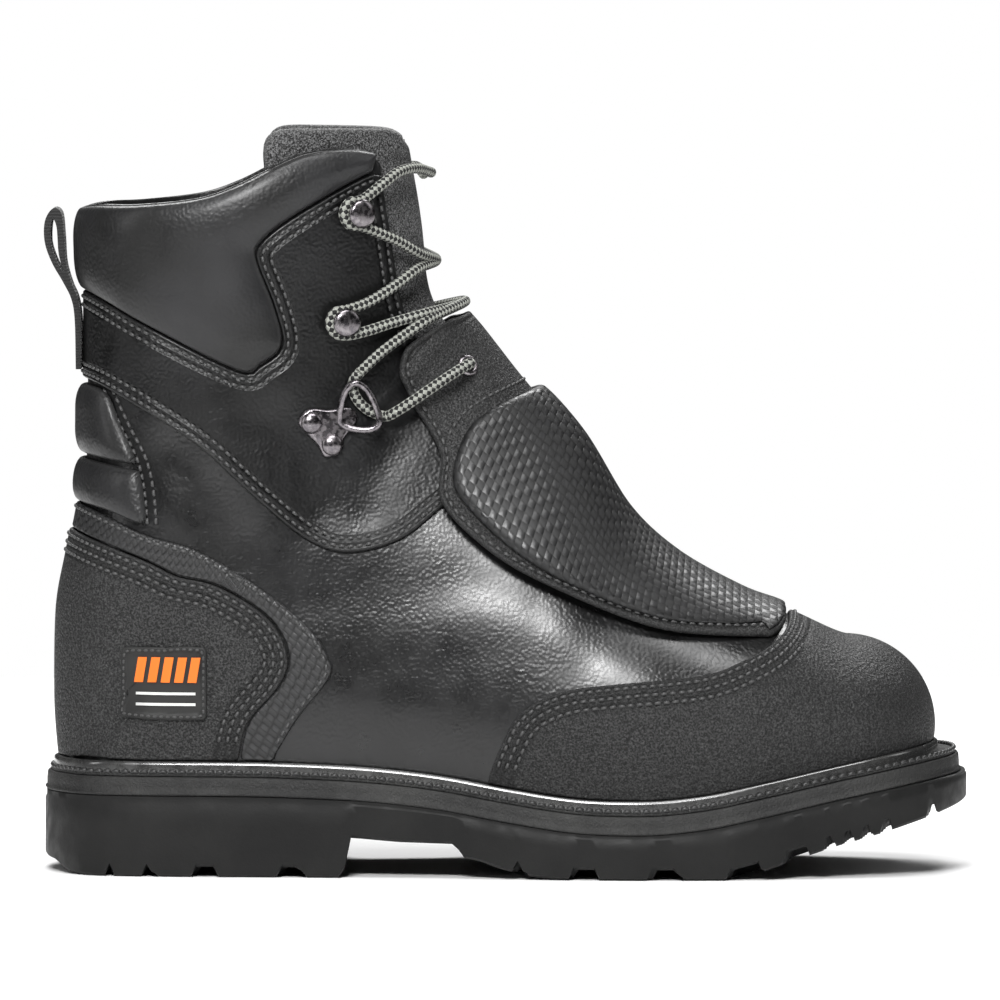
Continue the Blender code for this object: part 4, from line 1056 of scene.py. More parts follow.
def woven(name, tone):
    """Squares woven over and under each other, from the weave coordinates of the piece."""
    look = Look(name, (tone,) * 3, 0.45)
    parts = look.node("ShaderNodeSeparateXYZ")
    look.feed(parts.inputs[0], look.given("weave", vector=True))
    across, along = parts.outputs[0], parts.outputs[1]
    cell = look.maths("ADD", look.maths("FLOOR", across), look.maths("FLOOR", along))
    odd = look.maths("ROUND", look.maths("PINGPONG", cell, 1.0))
    first = look.maths("SINE", look.maths("MULTIPLY", look.maths("FRACT", across), math.pi))
    second = look.maths("SINE", look.maths("MULTIPLY", look.maths("FRACT", along), math.pi))
    keep = look.maths("SUBTRACT", 1.0, odd)
    over = look.maths("ADD", look.maths("MULTIPLY", first, odd),
                      look.maths("MULTIPLY", second, keep))
    other = look.maths("ADD", look.maths("MULTIPLY", second, odd),
                       look.maths("MULTIPLY", first, keep))
    height = look.maths("MULTIPLY", over, look.maths("POWER", other, 0.35))
    # Painted shade and light: the weave is darker where it dips and lighter on its raised floats,
    # following the bump height.
    shade_low_light_high = look.blend(look.ramp(height, 0.0, 1.0, 0.10, 0.75), (tone * 0.25,) * 3,
                          (tone * 1.5, tone * 1.5, tone * 1.55))
    look.set("Base Color", look.blend(look.maths("MULTIPLY", odd, 0.55), shade_low_light_high,
                                      (tone * 0.55,) * 3))
    look.set("Roughness", look.ramp(odd, 0.36, 0.58))
    look.dent(height, 0.16, 0.9)
    look.dent(look.noise(0.5), 0.04, 0.6)
    return look.material


def braid(name):
    look = Look(name, (0.03,) * 3, 0.8)
    checks = look.node("ShaderNodeTexChecker")
    look.feed(checks.inputs["Vector"], look.given("braid", vector=True))
    checks.inputs["Scale"].default_value = 1.0
    fleck = look.noise(0.6)
    light = look.blend(fleck, (0.18, 0.185, 0.165), (0.42, 0.43, 0.39))
    look.set("Base Color", look.blend(checks.outputs["Fac"], (0.007, 0.007, 0.007), light))
    parts = look.node("ShaderNodeSeparateXYZ")
    look.feed(parts.inputs[0], look.given("braid", vector=True))
    waves = [look.maths("ABSOLUTE", look.maths("SINE", look.maths("MULTIPLY", parts.outputs[k],
                                                                  math.pi))) for k in (0, 1)]
    look.dent(look.maths("MULTIPLY", *waves), 0.35, 1.0)
    look.dent(look.noise(0.35), 0.06, 0.6)
    return look.material


def metal(name):
    look = Look(name, (0.16, 0.15, 0.16), 0.26, Metallic=1.0)
    worn = look.noise(1.6, 3.0)
    look.set("Base Color", look.blend(look.ramp(worn, 0.0, 1.0, 0.35, 0.65), (0.13, 0.12, 0.13),
                                      (0.28, 0.26, 0.27)))
    look.set("Roughness", look.ramp(worn, 0.18, 0.36, 0.3, 0.7))
    look.dent(look.noise(0.8), 0.02, 0.5)
    return look.material


def rubber(name, tone, roughness=0.5, grain=0.7, depth=0.04, coat=0.0, shine=0.3, colour=None):
    look = Look(name, colour or (tone,) * 3, roughness, Coat_Weight=coat, Coat_Roughness=0.2,
                Specular_IOR_Level=shine)
    if not colour:
        dust = look.ramp(look.noise(26.0, 4.0, 0.6), 0.0, 1.0, 0.35, 0.7)
        look.set("Base Color", look.blend(dust, (tone * 0.75,) * 3,
                                          (tone * 1.5, tone * 1.5, tone * 1.45)))
    look.set("Roughness", look.ramp(look.noise(5.0, 3.0), roughness - 0.08, roughness + 0.10,
                                    0.3, 0.7))
    look.dent(look.noise(grain, 3.0), depth, 0.9)
    return look.material


def ribbed_fabric(name, colour):
    look = Look(name, colour, 0.85, Sheen_Weight=0.25)
    parts = look.node("ShaderNodeSeparateXYZ")
    look.feed(parts.inputs[0], look.place)
    wave, cross = [look.maths("SINE", look.maths("MULTIPLY", parts.outputs[axis],
                                                 2 * math.pi / (pitch * MM)))
                   for axis, pitch in ((2, RIB_PITCH), (1, YARN_PITCH))]
    height = look.maths("ADD", look.maths("MULTIPLY", wave, 0.5),
                        look.maths("MULTIPLY", cross, 0.2))
    look.dent(height, 0.25, 0.9)
    # Painted shade and light: the fabric is darker in the troughs of its ribs and yarns and lighter on
    # their crests, following the bump height.
    look.set("Base Color", look.blend(look.ramp(height, 0.0, 1.0, -0.6, 0.6),
                                      tuple(c * 0.5 for c in colour),
                                      tuple(c * 1.5 for c in colour)))
    return look.material


def thread(name, tone):
    look = Look(name, (tone,) * 3, 0.42)
    look.set("Base Color", look.blend(look.noise(0.8), (tone * 0.6,) * 3,
                                      (tone * 1.7,) * 3))
    look.dent(look.noise(0.3), 0.05, 0.8)
    return look.material


def over(value):
    """A height that is the same all over an area."""
    return lambda away, rows, sides: np.full(np.shape(rows), float(value))


def layer(low, high, radius=0.8, puff=0.0, puff_width=10.0):
    """Heights of a layer with a rounded edge, and thicker away from the edge by puff."""
    def top(away, rows, sides):
        return (low + 0.3 * (high - low) + 0.7 * (high - low) * rounded(away, radius)
                + puff * rounded(away, puff_width))
    return over(low), top


def weave_note(piece, area, cell):
    """Weave coordinates in cells: across from the ridge and along the rows."""
    base_row, base_side = np.tile(welded(area)[0][:, 1:], (2, 1)).T
    rows = np.linspace(0, LAST_ROW, 251)
    along = run_length(surface(rows, 0.45))
    sides = np.linspace(0, 1, 41)
    girth = np.array([run_length(surface(row, sides * 0.999)) for row in rows])
    u = np.abs(base_side) * (len(sides) - 1)
    v = base_row / LAST_ROW * (len(rows) - 1)
    i = np.clip(v.astype(int), 0, len(rows) - 2)
    j = np.clip(u.astype(int), 0, len(sides) - 2)
    fi, fj = v - i, u - j
    across = ((girth[i, j] * (1 - fi) + girth[i + 1, j] * fi) * (1 - fj)
              + (girth[i, j + 1] * (1 - fi) + girth[i + 1, j + 1] * fi) * fj)
    length = np.interp(base_row, rows, along)
    flat = np.stack((np.sign(base_side) * across / cell, length / cell, 0 * across), axis=1)
    note(piece, "weave", flat + (200.0, 200.0, 0))


def rings(name, levels, steps=6):
    """A closed band around the sole. Each level is (margin, height), as functions of x."""
    vertices = []
    for margin, height in levels:
        ring = foot_outline(margin, steps)
        count = len(ring)
        vertices += [(x, y, height(x)) for x, y in ring]
    order = np.arange(len(vertices)).reshape(-1, count)
    faces = quads(np.concatenate((order, order[:, :1]), axis=1))
    for ring in (0, len(levels) - 1):
        for i in range(count // 2):
            strip = [i, i + 1, (count - i - 1) % count, (count - i) % count]
            face = [ring * count + c for k, c in enumerate(strip) if c != strip[k - 1]]
            faces.append(face)
    return new_piece(name, vertices, faces)


def tread(x, y, edge):
    """How far the underside is cut in at a point. edge is the distance from the side wall."""
    depth = np.zeros(np.shape(x))
    for from_x, to_x, slope in NOTCHES[1:]:
        middle = (from_x + to_x) / 2
        wide = (to_x - from_x) / 2
        shift = np.clip(edge / NOTCH_IN, 0, 1) * 3.0
        near = np.abs(x - middle - shift)
        cut = np.clip((wide + 0.1 - near) / 0.6, 0, 1)
        end = np.clip((NOTCH_IN + 1 - edge) / 2.0, 0, 1)
        depth = np.maximum(depth, NOTCH_HIGH * cut * end)
    inner = np.clip((edge - 6.0) / 1.2, 0, 1)
    wave = np.abs(((x + np.abs(y) * 0.55) / GROOVE_PITCH) % 1.0 - 0.5) * GROOVE_PITCH
    groove = np.clip((GROOVE_HALF - wave) / 0.9, 0, 1) * np.clip((edge - 19.0) / 1.5, 0, 1)
    middle_line = np.clip((1.6 - np.abs(y)) / 0.8, 0, 1) * inner
    on_block = np.clip((np.abs(x + 34.0) - 24.0) / 2.0, 0, 1)
    return np.maximum(depth, GROOVE_DEEP * np.maximum(groove, middle_line * 0.8) * on_block)


def make_sole():
    """The outsole as one grid: underside with its lugs, side wall and top."""
    steps = 16
    outline = foot_outline(outsole_margin, steps)
    count = int(BACK_ROW) * steps + 1
    lateral = outline[:count]
    medial = np.concatenate((outline[:1], outline[count:][::-1], outline[count - 1:count]))
    share = np.linspace(0, 1, 71)[None, :, None]
    plan = lateral[:, None, :] * (1 - share) + medial[:, None, :] * share
    wide = np.linalg.norm(medial - lateral, axis=1)[:, None]
    edge = np.minimum(share[..., 0], 1 - share[..., 0]) * wide
    edge = np.minimum(edge, line_distance(plan[..., 0], plan[..., 1], closed_line(outline)))
    x, y = plan[..., 0], plan[..., 1]
    line = np.array(SOLE_BOTTOM)
    bottom = np.interp(x, line[:, 0], line[:, 1]) + tread(x, y, edge)
    bottom += 0.9 * (1 - rounded(edge, 0.9))
    top = outsole_top(x)
    vertices = [np.stack((x, y, bottom), axis=-1).reshape(-1, 3)]
    rows, columns = x.shape
    order = np.arange(rows * columns).reshape(rows, columns)
    faces = quads(order)
    ring = np.concatenate((order[:, 0], order[-1, 1:], order[-2::-1, -1], order[0, -2:0:-1]))
    base = vertices[0][ring]
    total = len(vertices[0])
    levels = ((0.30, 0.0), (0.62, 0.0), (0.84, 0.0), (0.90, -0.5), (0.985, -0.5), (1.0, -0.9))
    previous = ring
    top_z = outsole_top(base[:, 0])
    centre = np.stack((base[:, 0] * 0.97, np.zeros(len(base))), axis=1)
    inward = centre - base[:, :2]
    inward /= np.maximum(np.linalg.norm(inward, axis=1, keepdims=True), 1e-6)
    for share_up, out in levels:
        z = base[:, 2] + (top_z - base[:, 2]) * share_up
        place = base[:, :2] - inward * out
        vertices.append(np.concatenate((place, z[:, None]), axis=1))
        here = total + np.arange(len(ring))
        total += len(ring)
        for k in range(len(ring)):
            j = (k + 1) % len(ring)
            faces.append([previous[k], previous[j], here[j], here[k]])
        previous = here
    around = list(previous)
    corner = rows + columns - 2
    lateral_ring, across = around[:rows], around[rows:corner]
    medial_ring, front = around[corner:corner + rows][::-1], around[corner + rows:]
    faces.append([medial_ring[0]] + front + [lateral_ring[0]])
    faces += quads(np.array((medial_ring, lateral_ring)).T)
    faces.append([lateral_ring[-1]] + across + [medial_ring[-1]])
    piece = new_piece("outsole_tread", np.concatenate(vertices), faces)
    cleaned(piece.data, 0.00001)
    soften(piece, 35)
    return piece


def soften(piece, degrees):
    """Smooth shading that stops at sharp edges."""
    piece.data.set_sharp_from_angle(angle=math.radians(degrees))


def braided_tube(name, points):
    """A lace along points, with braid coordinates."""
    piece = tube(name, points, LACE_RADIUS)
    mesh = piece.data
    attribute = mesh.attributes.new("braid", "FLOAT_VECTOR", "CORNER")
    values = np.zeros((len(mesh.loops), 3), np.float32)
    s = np.repeat(run_length(points), TUBE_SIDES) / BRAID_PITCH
    for face in mesh.polygons:
        corners = [mesh.loops[k].vertex_index for k in face.loop_indices]
        turns = [c % TUBE_SIDES for c in corners]
        wrap = max(turns) - min(turns) > TUBE_SIDES / 2 and len(corners) == 4
        for k, c, turn in zip(face.loop_indices, corners, turns):
            whole = turn + TUBE_SIDES if wrap and turn < TUBE_SIDES / 2 else turn
            a = BRAID_TURNS * whole / TUBE_SIDES
            values[k] = (s[c] + a + 50, s[c] - a + 50, 0.5)
    attribute.data.foreach_set("vector", values.ravel())
    return piece


def dress_upper(looks):
    throat = curve(THROAT_EDGE)
    collar = curve(COLLAR_TOP)
    collar = collar[collar[:, 0] < throat[0, 0] - 3]
    outline = np.concatenate((collar, throat[throat[:, 1] < 240], ((60.0, 147.0), (60.0, 130.0),
                                                              (200.0, 130.0), (200.0, -50.0),
                                                              (-200.0, -50.0), (-200.0, 219.0))))
    area = cut_area(outline, 0.0, 25.0, spacing=2.3, levels=(0.0, 0.5))
    dressed(shell("upper_skin", area, over(-UPPER_WALL), layer(-0.7, 0.0, 0.6)[1]),
            looks["vamp"], "smooth_leather", "upper")

    edge = above_welt(curve(TOE_CAP_EDGE))
    outline = np.concatenate((edge, ((160.0, 96.0),), welt_line(160.0, edge[0, 0], 40)))
    toe = cut_area(outline, 0.0, 10.4, spacing=1.5)
    low, high = layer(GAP, GAP + OVERLAY)
    dressed(shell("toe_cap_leather", toe, low, high, 0, edge), looks["toe"], "grained_leather", "toe_cap")

    toe = from_line(toe, edge)

    edge = above_welt(curve(COUNTER_EDGE))
    outline = np.concatenate((edge, welt_line(edge[-1, 0], -160.0, 20)))
    counter = cut_area(outline, 10.0, 21.2, spacing=1.5)
    low, high = layer(3 * GAP, 3 * GAP + OVERLAY)
    dressed(shell("counter_leather", counter, low, high, 0, edge), looks["counter"],
            "grained_leather", "counter")
    counter = from_line(counter, edge)
    inner = edge + (0.5, 0.4)
    outer = curve(COUNTER_STRIP_EDGE)
    outer = outer[outer[:, 1] > welt_top(outer[:, 0]) + OVERLAY_FOOT]
    outline = np.concatenate((outer, welt_line(outer[-1, 0], inner[-1, 0], 4), inner[::-1]))
    strip = cut_area(outline, 10.0, 21.2, spacing=1.4)
    low, high = layer(GAP, GAP + OVERLAY)
    piece = shell("counter_weave", strip, low, high)
    weave_note(piece, strip, STRIP_CELL)
    dressed(piece, looks["strip"], "woven_leather", "counter_strip")
    strip = from_line(strip, outer)

    throat = curve(THROAT_EDGE)
    throat = throat[(throat[:, 1] < 236.4) & (throat[:, 1] > 152)][::-1] - (0.8, 0.4)
    collar = curve(COLLAR_LOW)[::-1] + (0.3, -0.6)
    collar = collar[collar[:, 0] < throat[-1, 0] - 1.5]
    outline = np.concatenate((curve(QUARTER_LOW), throat, collar))
    quarter = cut_area(outline, 9.4, 24.0, spacing=1.6)
    dressed(shell("quarter_leather", quarter, low, high), looks["quarter"], "smooth_leather",
            "quarter")
    return toe, counter, strip, quarter


def dress_padding(looks):
    low = curve(COLLAR_LOW)
    high = curve(COLLAR_TOP)[::-1] - (0.0, 0.4)
    high = high[high[:, 0] < -43.0]
    low = low[low[:, 0] < -44.0]
    collar = cut_area(np.concatenate((low, high)), 17.3, 24.9, spacing=1.6)
    piece = shell("collar_pad", collar, *layer(GAP, GAP + 1.0, 0.8, 3.6, 11.0))
    dressed(piece, looks["collar"], "padding", "collar")
    for name, node, line, puff, width in (("pad_high", "ankle_pad_upper", PAD_HIGH, 3.2, 8.0),
                                          ("pad_low", "ankle_pad_lower", PAD_LOW, 3.0, 7.0)):
        area = cut_area(curve(line), 16.1, 23.0, spacing=1.3)
        piece = shell(name, area, *layer(GAP, GAP + 0.8, 0.6, puff, width))
        dressed(piece, looks["collar"], "padding", node)


def dress_tongue(looks):
    side = curve(TONGUE_EDGE)
    side = side[side[:, 1] < 244]
    corner = curve(((-80.2, 243.0), (-79.6, 246.6), (-77.0, 249.4), (-72.5, 250.6),
                    (-60.0, TONGUE_TOP_Z), (-40.0, TONGUE_TOP_Z), (-34.0, 249.8),
                    (-30.0, 247.0), (-27.0, 243.0), (20.0, 200.0), (60.0, 150.0)))
    area = cut_area(np.concatenate((side[::-1], corner)), 8.4, 25.9, spacing=1.9,
                    levels=(0.0, 0.3, 1.0, 1.8))

    def sunk(rows):
        return -(UPPER_WALL + 2 * GAP + 3.0 * np.clip((13.0 - rows) / 3, 0, 1))

    def top(away, rows, sides):
        return sunk(rows) - 1.4 * (1 - rounded(away, 1.8))

    def under(away, rows, sides):
        return sunk(rows) - TONGUE_THICK + 1.2 * (1 - rounded(away, 1.8))

    piece = shell("tongue_leather_face", area, under, top)
    dressed(piece, looks["tongue"], "tongue_leather", "tongue")


def guard_outline(line, back=0.0):
    """A side view line of the guard, closed in front along the edge of the toe cap."""
    line = curve(line)
    line = line[line[:, 0] < GUARD_END[0][0] - back - 0.4]
    end = np.array(GUARD_END[::-1]) - (back, -back)
    return np.concatenate((line, ((60.0, 240.0),), end))


def guard_under(away, rows, sides):
    return guard_height(rows, sides)


def flap_top(away, rows, sides):
    return guard_height(rows, sides) + FLAP_THICK * (0.35 + 0.65 * rounded(away, 1.0))


def pad_under(away, rows, sides):
    return guard_height(rows, sides) + FLAP_THICK + GAP


def pad_top(away, rows, sides):
    thick = smooth(column(GUARD, "row"), column(GUARD, "panel"), rows)
    shape = 0.25 + 0.45 * rounded(away, 2.2) + 0.30 * rounded(away, 9.0)
    return pad_under(away, rows, sides) + thick * shape


def dress_guard(looks):
    flap = cut_area(guard_outline(FLAP_EDGE), 4.2, 15.8, 0.85, 1.6)
    dressed(shell("guard_flap_leather", flap, guard_under, flap_top), looks["flap"],
            "grained_leather", "guard_flap")
    pad = cut_area(guard_outline(PANEL_EDGE, 0.8), 4.2, 11.8, 0.8, 1.4,
                   levels=(0.0, 0.12, 0.4, 0.9, 1.6))
    piece = shell("guard_pad_weave", pad, pad_under, pad_top)
    weave_note(piece, pad, GUARD_CELL)
    dressed(piece, looks["weave"], "woven_leather", "guard_panel")
    return flap


def label_patch(name, corners, plate, lift, steps=9):
    """A raised patch on the label, between four side view corners."""
    a, b, c, d = (np.array(corner) for corner in corners)
    places = [(a * (1 - u) + b * u) * (1 - v) + (d * (1 - u) + c * u) * v
              for v in np.linspace(0, 1, steps) for u in np.linspace(0, 1, steps)]
    inwards = Vector((0, 1, 0))
    found = [plate.ray_cast(Vector((x * MM, -0.2, z * MM)), inwards)[0].y / MM - CENTRE_Y
             for x, z in places]
    top = [(x, y - lift, z) for (x, z), y in zip(places, found)]
    foot = [(x, y + 0.15, z) for (x, z), y in zip(places, found)]
    order = np.arange(steps * steps).reshape(steps, steps)
    faces = quads(order)
    count = steps * steps
    rim = np.concatenate((order[0], order[1:, -1], order[-1, -2::-1], order[-2:0:-1, 0]))
    faces += [[k + count for k in face[::-1]] for face in faces]
    faces += [[rim[k], rim[k - 1], rim[k - 1] + count, rim[k] + count] for k in range(len(rim))]
    piece = new_piece(name, np.concatenate((top, foot)), faces)
    soften(piece, 50)
    return piece


def dress_badge(looks):
    """The side label: a plate with a raised rim, slanted bars and two thin lines."""
    x0, z1, x1, z0 = *BADGE_BOX[0], *BADGE_BOX[2]
    box = np.array(((x0 + 1, z1), (x0, z1 - 1), (x0, z0 + 1), (x0 + 1, z0), (x1 - 1, z0),
                    (x1, z0 + 1), (x1, z1 - 1), (x1 - 1, z1)))
    area = cut_area(box, 11.5, 18.6, spacing=0.9, levels=(0.0, 0.3, 0.7, 1.6, 2.0))

    def top(away, rows, sides):
        rim = np.clip((BADGE_RIM - away) / 0.4, 0, 1)
        return BADGE_BACK + 0.3 + 0.25 * rounded(away, 0.6) + 0.45 * rim * rounded(away, 0.5)

    plate = shell("badge_plate", area, over(BADGE_BACK), top, half=-1)
    dressed(plate, looks["badge"], "badge_rubber", "badge")
    points = [vertex.co.copy() for vertex in plate.data.vertices]
    faces = [tuple(face.vertices) for face in plate.data.polygons]
    tree = BVHTree.FromPolygons(points, faces)
    bars = []
    for k in range(5):
        left = x0 + 3.4 + 4.5 * k
        corners = ((left, 65.2), (left + 3.0, 65.2), (left + 4.4, 73.6), (left + 1.4, 73.6))
        bars.append(label_patch(f"bar{k}", corners, tree, 0.6))
    dressed(joined("badge_bars", bars), looks["orange"], "badge_rubber")
    lines = []
    for k, z in enumerate((61.0, 57.4)):
        corners = ((x0 + 4, z), (x1 - 4, z), (x1 - 4, z + 0.9), (x0 + 4, z + 0.9))
        lines.append(label_patch(f"line{k}", corners, tree, 0.45))
    dressed(joined("badge_lines", lines), looks["pale"], "badge_rubber")
    return area


def dress_sole(looks):
    dressed(make_sole(), looks["outsole"], "outsole_rubber", "outsole")

    def low(x):
        return outsole_top(x) + 0.02

    def high(x):
        return welt_top(x) - WELT_THICK - 0.02

    def at(share, extra=0.0):
        return lambda x: low(x) + (high(x) - low(x)) * share + extra

    def out(extra):
        return lambda x: sole_margin(x) + extra

    band = rings("midsole_band", ((out(-1.2), at(0)), (out(0.1), at(0)), (out(0.4), at(0.03)),
                                  (out(0.5), at(0.10)), (out(0.3), at(0.16)),
                                  (out(-0.1), at(0.20)), (out(-0.1), at(0.5)),
                                  (out(-0.3), at(0.88)), (out(-0.7), at(1)),
                                  (out(-1.2), at(1))))
    dressed(band, looks["midsole"], "midsole_rubber", "midsole")

    def welt(extra):
        return lambda x: welt_top(x) + extra

    middle = (BEAD_INSIDE + BEAD_OUTSIDE) / 2
    half = (BEAD_OUTSIDE - BEAD_INSIDE) / 2
    crown = [(middle + half * math.cos(a), welt(BEAD_HEIGHT - half + half * math.sin(a)))
             for a in np.radians(np.arange(0, 181, 22.5))]
    bead = rings("welt_bead", (((BEAD_OUTSIDE, welt(0.05)),) + tuple(crown)
                               + ((BEAD_INSIDE, welt(0.05)),)), 8)
    ledge = rings("welt_ledge", ((out(-1.9), welt(-WELT_THICK)), (out(-1.5), welt(-1.1)),
                                 (out(-1.4), welt(-0.65)), (out(-1.5), welt(-0.2)),
                                 (out(-1.9), welt(0.0)), (lambda x: np.full(x.shape, 1.6),
                                                          welt(0.0))))
    for piece in (bead, ledge):
        soften(piece, 50)
    dressed(bead, looks["bead"], "welt_rubber", "welt")
    dressed(ledge, looks["midsole"], "welt_rubber")
    lines = []
    ring = foot_outline(lambda x: sole_margin(x) - 1.9)
    ring = np.concatenate((ring, ring[:1]))
    points = np.stack((ring[:, 0], ring[:, 1], welt_top(ring[:, 0]) + 0.12), axis=1)
    points = even(points, 3.2)
    lines.append((points, np.tile((0.0, 0.0, 1.0), (len(points), 1))))
    dressed(stitches("welt_stitches", lines, share=0.86, radius=0.85), looks["welt_thread"],
            "welt_rubber")

    def inside_foot(share):
        return lambda x: welt_top(x) + GAP + INSOLE_THICK * share

    insole = rings("insole_foam_bed", ((-5.6, inside_foot(0)), (-5.1, inside_foot(0.15)),
                                       (-5.1, inside_foot(0.8)), (-5.7, inside_foot(1.0))))
    dressed(insole, looks["insole"], "insole_foam", "insole")


def dress_loop(looks):
    outer = curve(((-145.0, 169.0), (-145.3, 185.0), (-146.4, 192.5), (-149.3, 198.5),
                   (-153.0, 205.0), (-155.4, 212.0), (-155.3, 219.0), (-152.6, 223.2),
                   (-149.8, 221.6), (-148.9, 214.0), (-148.3, 205.0), (-146.4, 198.0),
                   (-144.2, 192.5), (-143.2, 185.0), (-143.2, 169.0)), 8)
    hole = loop(((-152.9, 219.4), (-151.4, 217.0), (-150.7, 208.0), (-149.2, 202.0),
                 (-151.4, 205.6), (-153.4, 212.0)), 8)
    body = prism("pull_loop_webbing", outer, -10.0, 10.0)
    cut_out(body, prism("hole", hole, -20, 20))
    round_off(body, 0.45, 40)
    dressed(body, looks["webbing"], "webbing", "pull_loop")


def round_off(piece, width, degrees):
    edge = piece.modifiers.new("edge", "BEVEL")
    edge.width = width * MM
    edge.segments = 2
    edge.limit_method = "ANGLE"
    edge.angle_limit = math.radians(degrees)
    result = piece.evaluated_get(bpy.context.evaluated_depsgraph_get())
    piece.data = bpy.data.meshes.new_from_object(result)
    piece.modifiers.clear()
    piece.data.polygons.foreach_set("use_smooth", [True] * len(piece.data.polygons))
    soften(piece, 50)


def dress_hardware(looks):
    hook_profile = ((0, 1.9), (5.0, 2.0), (5.3, 2.3), (5.2, 2.8), (4.4, 3.3), (2.6, 3.5),
                    (2.0, 4.2), (1.9, 7.4), (2.4, 8.0), (4.3, 8.3), (4.8, 8.7), (4.8, 9.2),
                    (4.0, 9.9), (2.4, 10.3), (0, 10.4))
    for word, sign in SIDES:
        for name, place in (("middle_hook", MIDDLE_HOOK), ("top_hook", TOP_HOOK)):
            row, side = locate(*place, lateral=sign < 0)
            piece = turned(f"{name}_{word}_metal", surface(row, side), normal(row, side),
                           hook_profile)
            dressed(piece, looks["metal"], "dark_nickel", f"{name}_{word}")
            soften(piece, 60)
        plate = loop(LOCK_PLATE)
        area = cut_area(plate, 11.5, 18.6, spacing=1.1, levels=(0.0, 0.15, 0.5, 1.0))
        parts = [shell("plate", area, *layer(2.0, 3.8, 1.0), half=sign)]
        for place in LOCK_RIVETS:
            row, side = locate(*place, lateral=sign < 0)
            head = ((0, 2.8), (3.5, 3.0), (3.8, 3.5), (3.5, 4.1), (2.8, 4.7), (1.7, 5.2), (0, 5.4))
            parts.append(turned("rivet", surface(row, side), normal(row, side), head, 24))
        path = loop([on_upper(x, z, height + (0.9 if height > 5.9 else 0.0), sign < 0)
                     for x, z, height in LOCK_RING], 8)
        parts.append(tube("ring", path, 1.15, closed=True))
        for part in parts:
            soften(part, 60)
        dressed(joined(f"lace_lock_{word}_metal", parts), looks["metal"], "dark_nickel",
                f"lace_lock_{word}")
        row, side = locate(*GUARD_EYELET, lateral=sign < 0)
        foot = lifted(row, side, guard_height(row, side) + FLAP_THICK)
        ring = ((1.9, 0.0), (3.7, 0.0), (3.8, 0.5), (3.5, 1.0), (2.9, 1.4), (2.3, 1.3), (1.9, 0.8))
        piece = turned(f"guard_eyelet_{word}_metal", foot, normal(row, side), ring)
        soften(piece, 60)
        dressed(piece, looks["metal"], "dark_nickel", f"guard_eyelet_{word}")


def dress_laces(looks):
    ends = []
    for k, mirror in enumerate((1, -1)):
        route = lace_route()
        at_ridge = {4: (1.4, -1.2), 13: (2.6, -0.1), len(route) - 1: (2.4, -0.2)}
        for place, lifts in at_ridge.items():
            half, x, z, height = route[place]
            route[place] = (half, x, z, height + lifts[k])
        path = curve(route_points(route, mirror), 8)
        ends.append(braided_tube(f"end{k}", path))
    dressed(joined("lace_ends", ends), looks["lace"], "lace", "lace_crossings")
    for word, sign in SIDES:
        path = [on_upper(*GUARD_EYELET, 7.0, sign < 0), on_upper(-16.0, 168.1, 9.4, sign < 0)]
        path += [on_upper(x, z, height, sign < 0) for x, z, height in STRAND_TO_LOCK[:-1]]
        path += [on_upper(x, z, height, sign < 0) for x, z, height in THROUGH_RING]
        piece = braided_tube(f"strand_{word}", curve(path, 8))
        dressed(piece, looks["lace"], "lace", f"lace_strand_{word}")


def sew(looks, toe, counter, strip, quarter, flap, badge):
    lift = GAP + OVERLAY - 0.05

    def at(height):
        return lambda rows, sides: np.full(np.shape(rows), float(height))

    def over_welt(points):
        return points[:, 2] > welt_top(points[:, 0]) + OVERLAY_FOOT + 3.2

    rows = []
    for value in TOE_SEAMS:
        rows += on_layer(seam_lines(toe, value), at(lift), STITCH,
                         lambda p: over_welt(p) & (p[:, 0] < 100))
    dressed(stitches("toe_stitches", rows), looks["thread"], "grained_leather")
    rows = []
    for value in COUNTER_SEAMS:
        rows += on_layer(seam_lines(counter, value), at(lift + 2 * GAP), STITCH, over_welt)
    rows += on_layer(seam_lines(strip, STRIP_SEAM), at(lift), STITCH, over_welt)
    dressed(stitches("counter_stitches", rows), looks["thread"], "grained_leather")
    rows = []
    for value in QUARTER_SEAMS:
        rows += on_layer(seam_lines(quarter, value), at(lift), STITCH)
    for shift in (-1.5, 1.5):
        line = np.array(ANKLE_SEAM) + (shift, 0.0)
        for lateral in (True, False):
            rows += on_layer([side_line(line, lateral)], at(0.0), STITCH)
    dressed(stitches("quarter_stitches", rows), looks["thread"], "smooth_leather")

    def on_flap(rows, sides):
        return guard_height(rows, sides) + FLAP_THICK - 0.05

    rows = on_layer(seam_lines(flap, FLAP_SEAM), on_flap, 3.2,
                    lambda p: (p[:, 0] < 88) & (p[:, 2] < 175))
    panel_area = cut_area(guard_outline(PANEL_EDGE, 0.8), 6.0, 14.4, 0.8, 2.0, levels=(0.0,),
                          floor=-9.0)
    rows += on_layer(seam_lines(panel_area, PANEL_SEAM), on_flap, STITCH, lambda p: p[:, 2] > 146)
    dressed(stitches("guard_stitches", rows, share=0.7, radius=0.55), looks["thread"],
            "grained_leather")
    rows = on_layer(seam_lines(badge, BADGE_SEAM), at(3.75), 2.2, lambda p: p[:, 1] < 0)
    dressed(stitches("badge_stitches", rows, share=0.62, radius=0.4), looks["thread"],
            "badge_rubber")


